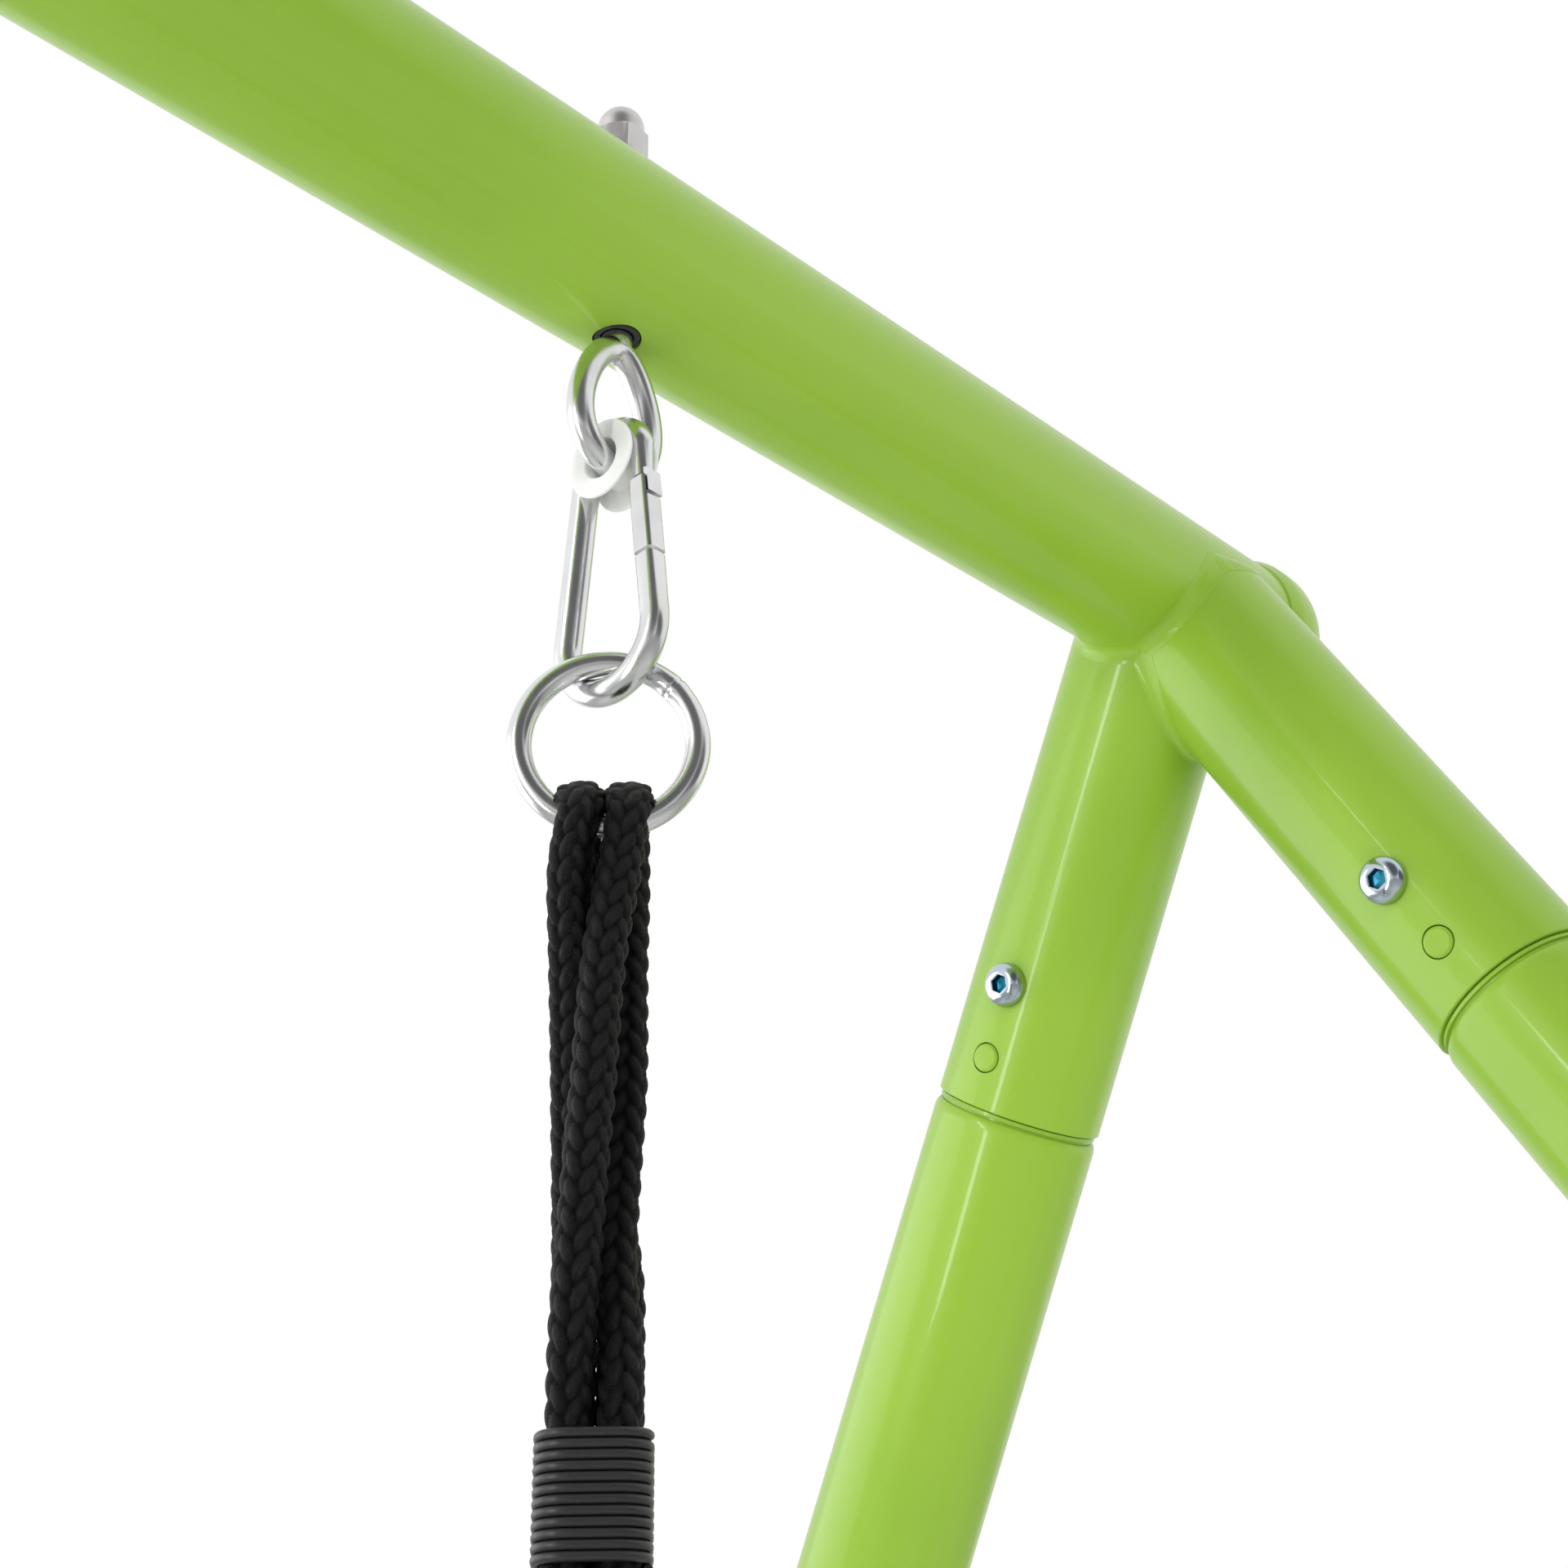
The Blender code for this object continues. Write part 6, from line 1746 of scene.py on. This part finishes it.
    def gate(self, side, name):
        """A square bar with soft edges, forked at its pin, with a step that takes the nose."""
        base = self.pin_frame(side)
        half = GATE_SIDE / 2
        top = (self.side_at(HOOK_NOSE_DROP) - self.side_at(HOOK_PIN_DROP)).length - GATE_GAP
        form = Form()
        rings = []
        for z, inset in ((-half, 0.0006), (-half + 0.0006, 0), (top - 0.0004, 0), (top, 0.0004)):
            square = self.soft_square(half - 0.0002 - inset, 0.0014)
            rings.append([base @ Vector((x, y, z)) for x, y in square])
        form.rings(rings)
        bar = form.piece(f"gate_bar_{name}", None)
        tools = []
        for label, corner_low, corner_high in (
            ("step", (-half + 0.0008, -half * 2, top - 0.0062), (half * 2, -half + 0.0016, top + half)),
            ("fork", (-0.0015, -half + 0.0011, -half * 2), (0.0015, half * 2, GATE_SIDE * 0.45)),
        ):
            block = Form()
            (x0, y0, z0), (x1, y1, z1) = corner_low, corner_high
            rings = [[(x0, y0, z), (x1, y0, z), (x1, y1, z), (x0, y1, z)] for z in (z0, z1)]
            block.rings([[base @ Vector(point) for point in ring] for ring in rings])
            tools.append(block.piece(f"gate_{label}_{name}", None))
        bar = cut(bar, tools)
        pin = Form()
        across = base @ Matrix.Rotation(math.pi / 2, 4, "Y")
        pin.turned([(0, -0.0025), (0.0011, -0.0025), (0.0011, 0.0025), (0, 0.0025)], 20, across, closed=False)
        gate = cut(bar, [pin.piece(f"gate_pin_{name}", None)], "UNION")
        gate.name = f"sprung_gate_{name}"
        gate.data.shade_smooth()
        gate.data.set_sharp_from_angle(angle=math.radians(28))
        hung_on(gate, f"gate_{name}", (f"hook_gate_{name}",), "chrome")

    def soft_square(self, half, soft):
        """(x, y) points round a square whose corners have this radius."""
        points = []
        for quarter in range(4):
            turn = quarter * math.pi / 2
            cx, cy = ((1, 1), (-1, 1), (-1, -1), (1, -1))[quarter]
            for i in range(9):
                angle = turn + math.pi / 2 * i / 8
                reach = half - soft
                points.append((cx * reach + soft * math.cos(angle), cy * reach + soft * math.sin(angle)))
        return points

    def ring(self, side, name):
        """A welded round ring, with a fine seam at its weld."""
        along, outward = ring_axes(side)
        path = []
        radius = []
        for angle in angles_round(240):
            away = abs((angle - RING_SEAM_AT + math.pi) % (2 * math.pi) - math.pi)
            path.append(RING_MEAN_R * (math.cos(angle) * along + math.sin(angle) * Vector((0, 0, 1))))
            swell = 0.00022 * math.exp(-((away / 0.10) ** 2))
            groove = 0.00045 * math.exp(-((away / 0.014) ** 2))
            radius.append(RING_WIRE / 2 + swell - groove)
        form = Form()
        base = hanger_frame(side) @ Matrix.Translation((0, 0, -RING_DROP))
        form.swept(path, radius, 32, outward, True, base)
        form.piece(f"welded_ring_{name}", "chrome", SWING, (f"ring_{name}",), "chrome", sharp=60)


class SWING_OT_rope_fittings(bpy.types.Operator):
    """Winds the bindings below the rings and makes the rope clamps above the seat"""

    bl_idname = "swing.rope_fittings"
    bl_label = "Rope bindings and clamps"

    def execute(self, context):
        recipe = cord_recipe()
        for side, name in SIDES:
            path = self.winding(side)
            start = path_object(f"winding_path_{name}", path)
            wound = recipe.run(f"wound_binding_{name}", start, "plastic", width=0.0021, step=0.0009)
            hung_on(wound, SWING, (f"rope_binding_{name}",), "plastic")
            for end, end_name in ENDS:
                self.clamp(side, end, f"{name}_{end_name}")
        return {"FINISHED"}

    def winding(self, side):
        """A cord wound down the four strands, in a square with round corners."""
        along, outward = ring_axes(side)
        turns = 12
        reach = ROPE_D / 2 + CLEARANCE + 0.0011
        centre = from_ring(side, 0, 0, BINDING_TOP)
        points = []
        for i in range(turns * 40 + 1):
            share = i / 40 % 1
            quarter = int(share * 4) % 4
            within = share * 4 % 1
            angle = (quarter + within) * math.pi / 2
            sx, sy = ((1, 1), (-1, 1), (-1, -1), (1, -1))[quarter]
            if within < 0.5:
                angle = (quarter + within * 2) * math.pi / 2
                x = sx * BINDING_HALF + reach * math.cos(angle)
                y = sy * BINDING_HALF + reach * math.sin(angle)
            else:
                nx, ny = ((-1, 1), (-1, -1), (1, -1), (1, 1))[quarter]
                turn = (quarter + 1) * math.pi / 2
                slide = within * 2 - 1
                x = (sx + (nx - sx) * slide) * BINDING_HALF + reach * math.cos(turn)
                y = (sy + (ny - sy) * slide) * BINDING_HALF + reach * math.sin(turn)
            drop = 0.0013 + (BINDING_LENGTH - 0.0026) * i / (turns * 40)
            points.append(centre + along * x + outward * y - Vector((0, 0, drop)))
        return points

    def clamp(self, side, end, suffix):
        """A moulded black sleeve with soft edges round both strands."""
        base = attach_frame(side, end) @ Matrix.Translation((0, 0, CLAMP_UP))
        bore = ROPE_D / 2 + CLEARANCE
        wall = CLAMP_WALL
        half = CLAMP_LENGTH / 2
        soft = 0.0009
        rows = [(bore + wall - soft, half), (bore + wall, half - soft)]
        rows += [(bore + wall, 0.002), (bore + wall - 0.0005, 0.0012)]
        rows += [(radius, -height) for radius, height in reversed(rows)]
        rows += [(bore + soft / 2, -half), (bore, -half + soft / 2)]
        rows += [(bore, half - soft / 2), (bore + soft / 2, half)]
        rings = []
        for radius, height in rows:
            ring = []
            for angle in angles_round(56, 0.5):
                across = radius * math.cos(angle)
                shift = CLAMP_HALF if across > 0 else -CLAMP_HALF
                ring.append(base @ Vector((shift + across, radius * math.sin(angle), height)))
            rings.append(ring)
        form = Form()
        form.rings(rings, closed=True)
        form.piece(f"moulded_clamp_{suffix}", "plastic", SWING, (f"rope_clamp_{suffix}",), "black_plastic")


class SWING_OT_seat_cover(bpy.types.Operator):
    """Makes the padded seat cover, slit for the net and drawn in at the ropes"""

    bl_idname = "swing.seat_cover"
    bl_label = "Seat cover"

    def execute(self, context):
        around = COVER_PARTS
        sides = COVER_SIDES
        outside = sides - COVER_INSIDE
        slit = math.pi + SLIT_SLOPE
        lip = math.asin(COVER_LIP / COVER_R)
        points = np.zeros((around, sides, 3))
        cloth = np.zeros((around, sides, 2))
        for i in range(around):
            angle = 2 * math.pi * i / around
            for k in range(sides):
                if k < outside:
                    share = k / (outside - 1)
                    spot = slit + lip + (2 * math.pi - 2 * lip) * share
                    radius = self.skin(angle, spot, share)
                else:
                    share = (k - outside) / (COVER_INSIDE - 1)
                    spot = slit - lip * 1.9 - (2 * math.pi - 3.8 * lip) * share
                    radius = SEAT_TUBE_R + 0.0006
                reach = SEAT_RING_R + radius * math.cos(spot)
                height = SEAT_HEIGHT + radius * math.sin(spot)
                points[i, k] = (reach * math.cos(angle), reach * math.sin(angle), height)
                cloth[i, k] = (angle * SEAT_RING_R, spot * COVER_R)
        closed = np.concatenate([points, points[:1]])
        mapped = np.concatenate([cloth, cloth[:1] + (2 * math.pi * SEAT_RING_R, 0)])
        mesh = grid_mesh("padded_cover", closed, {"cloth": mapped}, closed_ends=False)
        bm = bmesh.new()
        bm.from_mesh(mesh)
        bmesh.ops.remove_doubles(bm, verts=bm.verts, dist=1e-6)
        bmesh.ops.recalc_face_normals(bm, faces=bm.faces)
        bm.to_mesh(mesh)
        bm.free()
        mesh.shade_smooth()
        cover = joined("padded_cover", mesh)
        hung_on(cover, SWING, ("seat_cover",), "canvas")
        return {"FINISHED"}

    def skin(self, angle, spot, share):
        """The cover's outside, drawn in at the ropes with folds that fan out from them."""
        degrees = math.degrees(angle)
        attach = [ATTACH_ANGLE, 180 - ATTACH_ANGLE, 180 + ATTACH_ANGLE, 360 - ATTACH_ANGLE]
        off = min(abs(degrees - a) for a in attach)
        drawn = 1 - min(1.0, max(0.0, (off - PINCH_FLAT * 0.55) / 4.2))
        drawn = soft_step(drawn)
        radius = COVER_R - 0.0004 - (COVER_R - COVER_PINCH_R) * drawn
        fanned = math.sin(spot * 17 + 2.0 * math.sin(degrees * 0.9))
        fold = math.exp(-((off - 3.5) ** 2) / 9.0) * 0.0011 * fanned
        wavy = math.sin(degrees * 1.7 + 3 * math.sin(spot * 2))
        slack = 0.0005 * wavy * math.sin(spot * 3 + degrees * 0.31)
        end_in = 0.0012 * (math.exp(-share / 0.02) + math.exp(-(1 - share) / 0.02))
        return radius + (fold + slack) * (1 - 0.6 * drawn) - end_in - 0.0009


class SWING_OT_net(bpy.types.Operator):
    """Weaves the net: radial strands, rings, close rings at its centre, and a tie at each crossing"""

    bl_idname = "swing.net"
    bl_label = "Net"

    def execute(self, context):
        meshes = []
        outer = SEAT_RING_R - (SEAT_TUBE_R + 0.0006) / math.cos(SLIT_SLOPE) - 0.003
        flat = NET_THICK / NET_STRAND
        for i in range(NET_RADIALS):
            angle = 2 * math.pi * (i + 0.5) / NET_RADIALS
            line = []
            for k in range(150):
                reach = NET_CENTRE_R - 0.006 + (outer - NET_CENTRE_R + 0.006) * k / 149
                phase = (reach - NET_RING_RADII[-1]) / 0.085 * math.pi
                lift = NET_WAVE * (1 if i % 2 else -1) * math.cos(phase)
                point = net_point(angle, reach)
                line.append((point.x, point.y, point.z + lift))
            meshes.append(self.strand(f"radial_{i}", smooth_line([Vector(p) for p in line], 0.0022), flat))
        for reach in NET_RING_RADII:
            meshes.append(self.loop(f"ring_{reach:.3f}", reach, NET_WAVE, flat))
        for k in range(NET_CENTRE_RINGS):
            meshes.append(self.loop(f"centre_{k}", NET_CENTRE_R - 0.0042 - 0.0076 * k, 0.0, flat))
        border = SEAT_RING_R - SEAT_TUBE_R - 0.006
        meshes.append(self.loop("border", border, 0.0, flat))
        self.crossings(meshes)
        bpy.ops.object.select_all(action="DESELECT")
        for thing in meshes:
            thing.select_set(True)
        context.view_layer.objects.active = meshes[0]
        bpy.ops.object.join()
        net = context.view_layer.objects.active
        net.name = "woven_net"
        hung_on(net, SWING, ("net",), "braid")
        return {"FINISHED"}

    def strand(self, name, line, flat):
        return joined(name, self.corded(name, line, flat))

    def loop(self, name, reach, wave, flat):
        """A ring that passes over one radial strand and under the next."""
        count = max(48, int(2 * math.pi * reach / 0.0025))
        line = []
        for i in range(count + 1):
            angle = 2 * math.pi * i / count
            point = net_point(angle, reach)
            lift = -wave * math.cos((angle / (2 * math.pi) * NET_RADIALS - 0.5) * math.pi)
            line.append((point.x, point.y, point.z + lift))
        return joined(name, self.corded(name, np.array(line), flat))

    def corded(self, name, line, flat):
        width = NET_STRAND * 0.86
        return braided(name, np.asarray(line), width, 8, 0.0055, 14, 0.0006, flat)

    def crossings(self, meshes):
        """A tight turn of cord round each crossing."""
        for i in range(NET_RADIALS):
            angle = 2 * math.pi * (i + 0.5) / NET_RADIALS
            for reach in NET_RING_RADII:
                centre = net_point(angle, reach)
                outward = Vector((math.cos(angle), math.sin(angle), 0))
                sideways = Vector((-math.sin(angle), math.cos(angle), 0))
                slants = (outward + sideways, outward - sideways)
                form = Form()
                for first, second in (slants, slants[::-1]):
                    path = []
                    for turn in angles_round(20):
                        reach_out = first.normalized() * math.cos(turn) * 0.0052
                        path.append(centre + reach_out + Vector((0, 0, math.sin(turn) * 0.0034)))
                    form.swept(path, 0.0009, 7, second.normalized(), True)
                meshes.append(form.piece(f"tie_{i}_{reach}", None))


class SWING_OT_kept_parts(bpy.types.Operator):
    """Gives their finish to the plain parts that stay as they are: the button springs and the seat tube"""

    bl_idname = "swing.kept_parts"
    bl_label = "Springs and seat tube"

    def execute(self, context):
        for node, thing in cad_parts.items():
            is_spring = node.startswith("button_spring")
            if is_spring or node == "seat_ring":
                thing.data.materials.clear()
                thing.data.materials.append(finish_of("spring" if is_spring else "zinc"))
        return {"FINISHED"}


class SWING_PT_panel(bpy.types.Panel):
    """The steps in order, with the colours and sizes that they use"""

    bl_label = "Nest Swing Set"
    bl_idname = "SWING_PT_panel"
    bl_space_type = "VIEW_3D"
    bl_region_type = "UI"
    bl_category = "Swing"

    def draw(self, context):
        for group in (context.scene.swing_looks, context.scene.swing_sizes):
            box = self.layout.box()
            for key in group.__annotations__:
                box.prop(group, key)
        for step in STEPS:
            self.layout.operator(step.bl_idname)


STEPS = (
    SWING_OT_stage,
    SWING_OT_ropes,
    SWING_OT_top_beam,
    SWING_OT_legs,
    SWING_OT_fasteners,
    SWING_OT_hangers,
    SWING_OT_rope_fittings,
    SWING_OT_seat_cover,
    SWING_OT_net,
    SWING_OT_kept_parts,
)
CLASSES = (SwingLooks, SwingSizes, *STEPS, SWING_PT_panel)


def register():
    for made in CLASSES:
        bpy.utils.register_class(made)
    bpy.types.Scene.swing_looks = PointerProperty(type=SwingLooks)
    bpy.types.Scene.swing_sizes = PointerProperty(type=SwingSizes)


def unregister():
    del bpy.types.Scene.swing_sizes
    del bpy.types.Scene.swing_looks
    for made in reversed(CLASSES):
        bpy.utils.unregister_class(made)


def main():
    register()
    for step in STEPS:
        group, name = step.bl_idname.split(".")
        getattr(getattr(bpy.ops, group), name)()


if __name__ == "__main__":
    main()
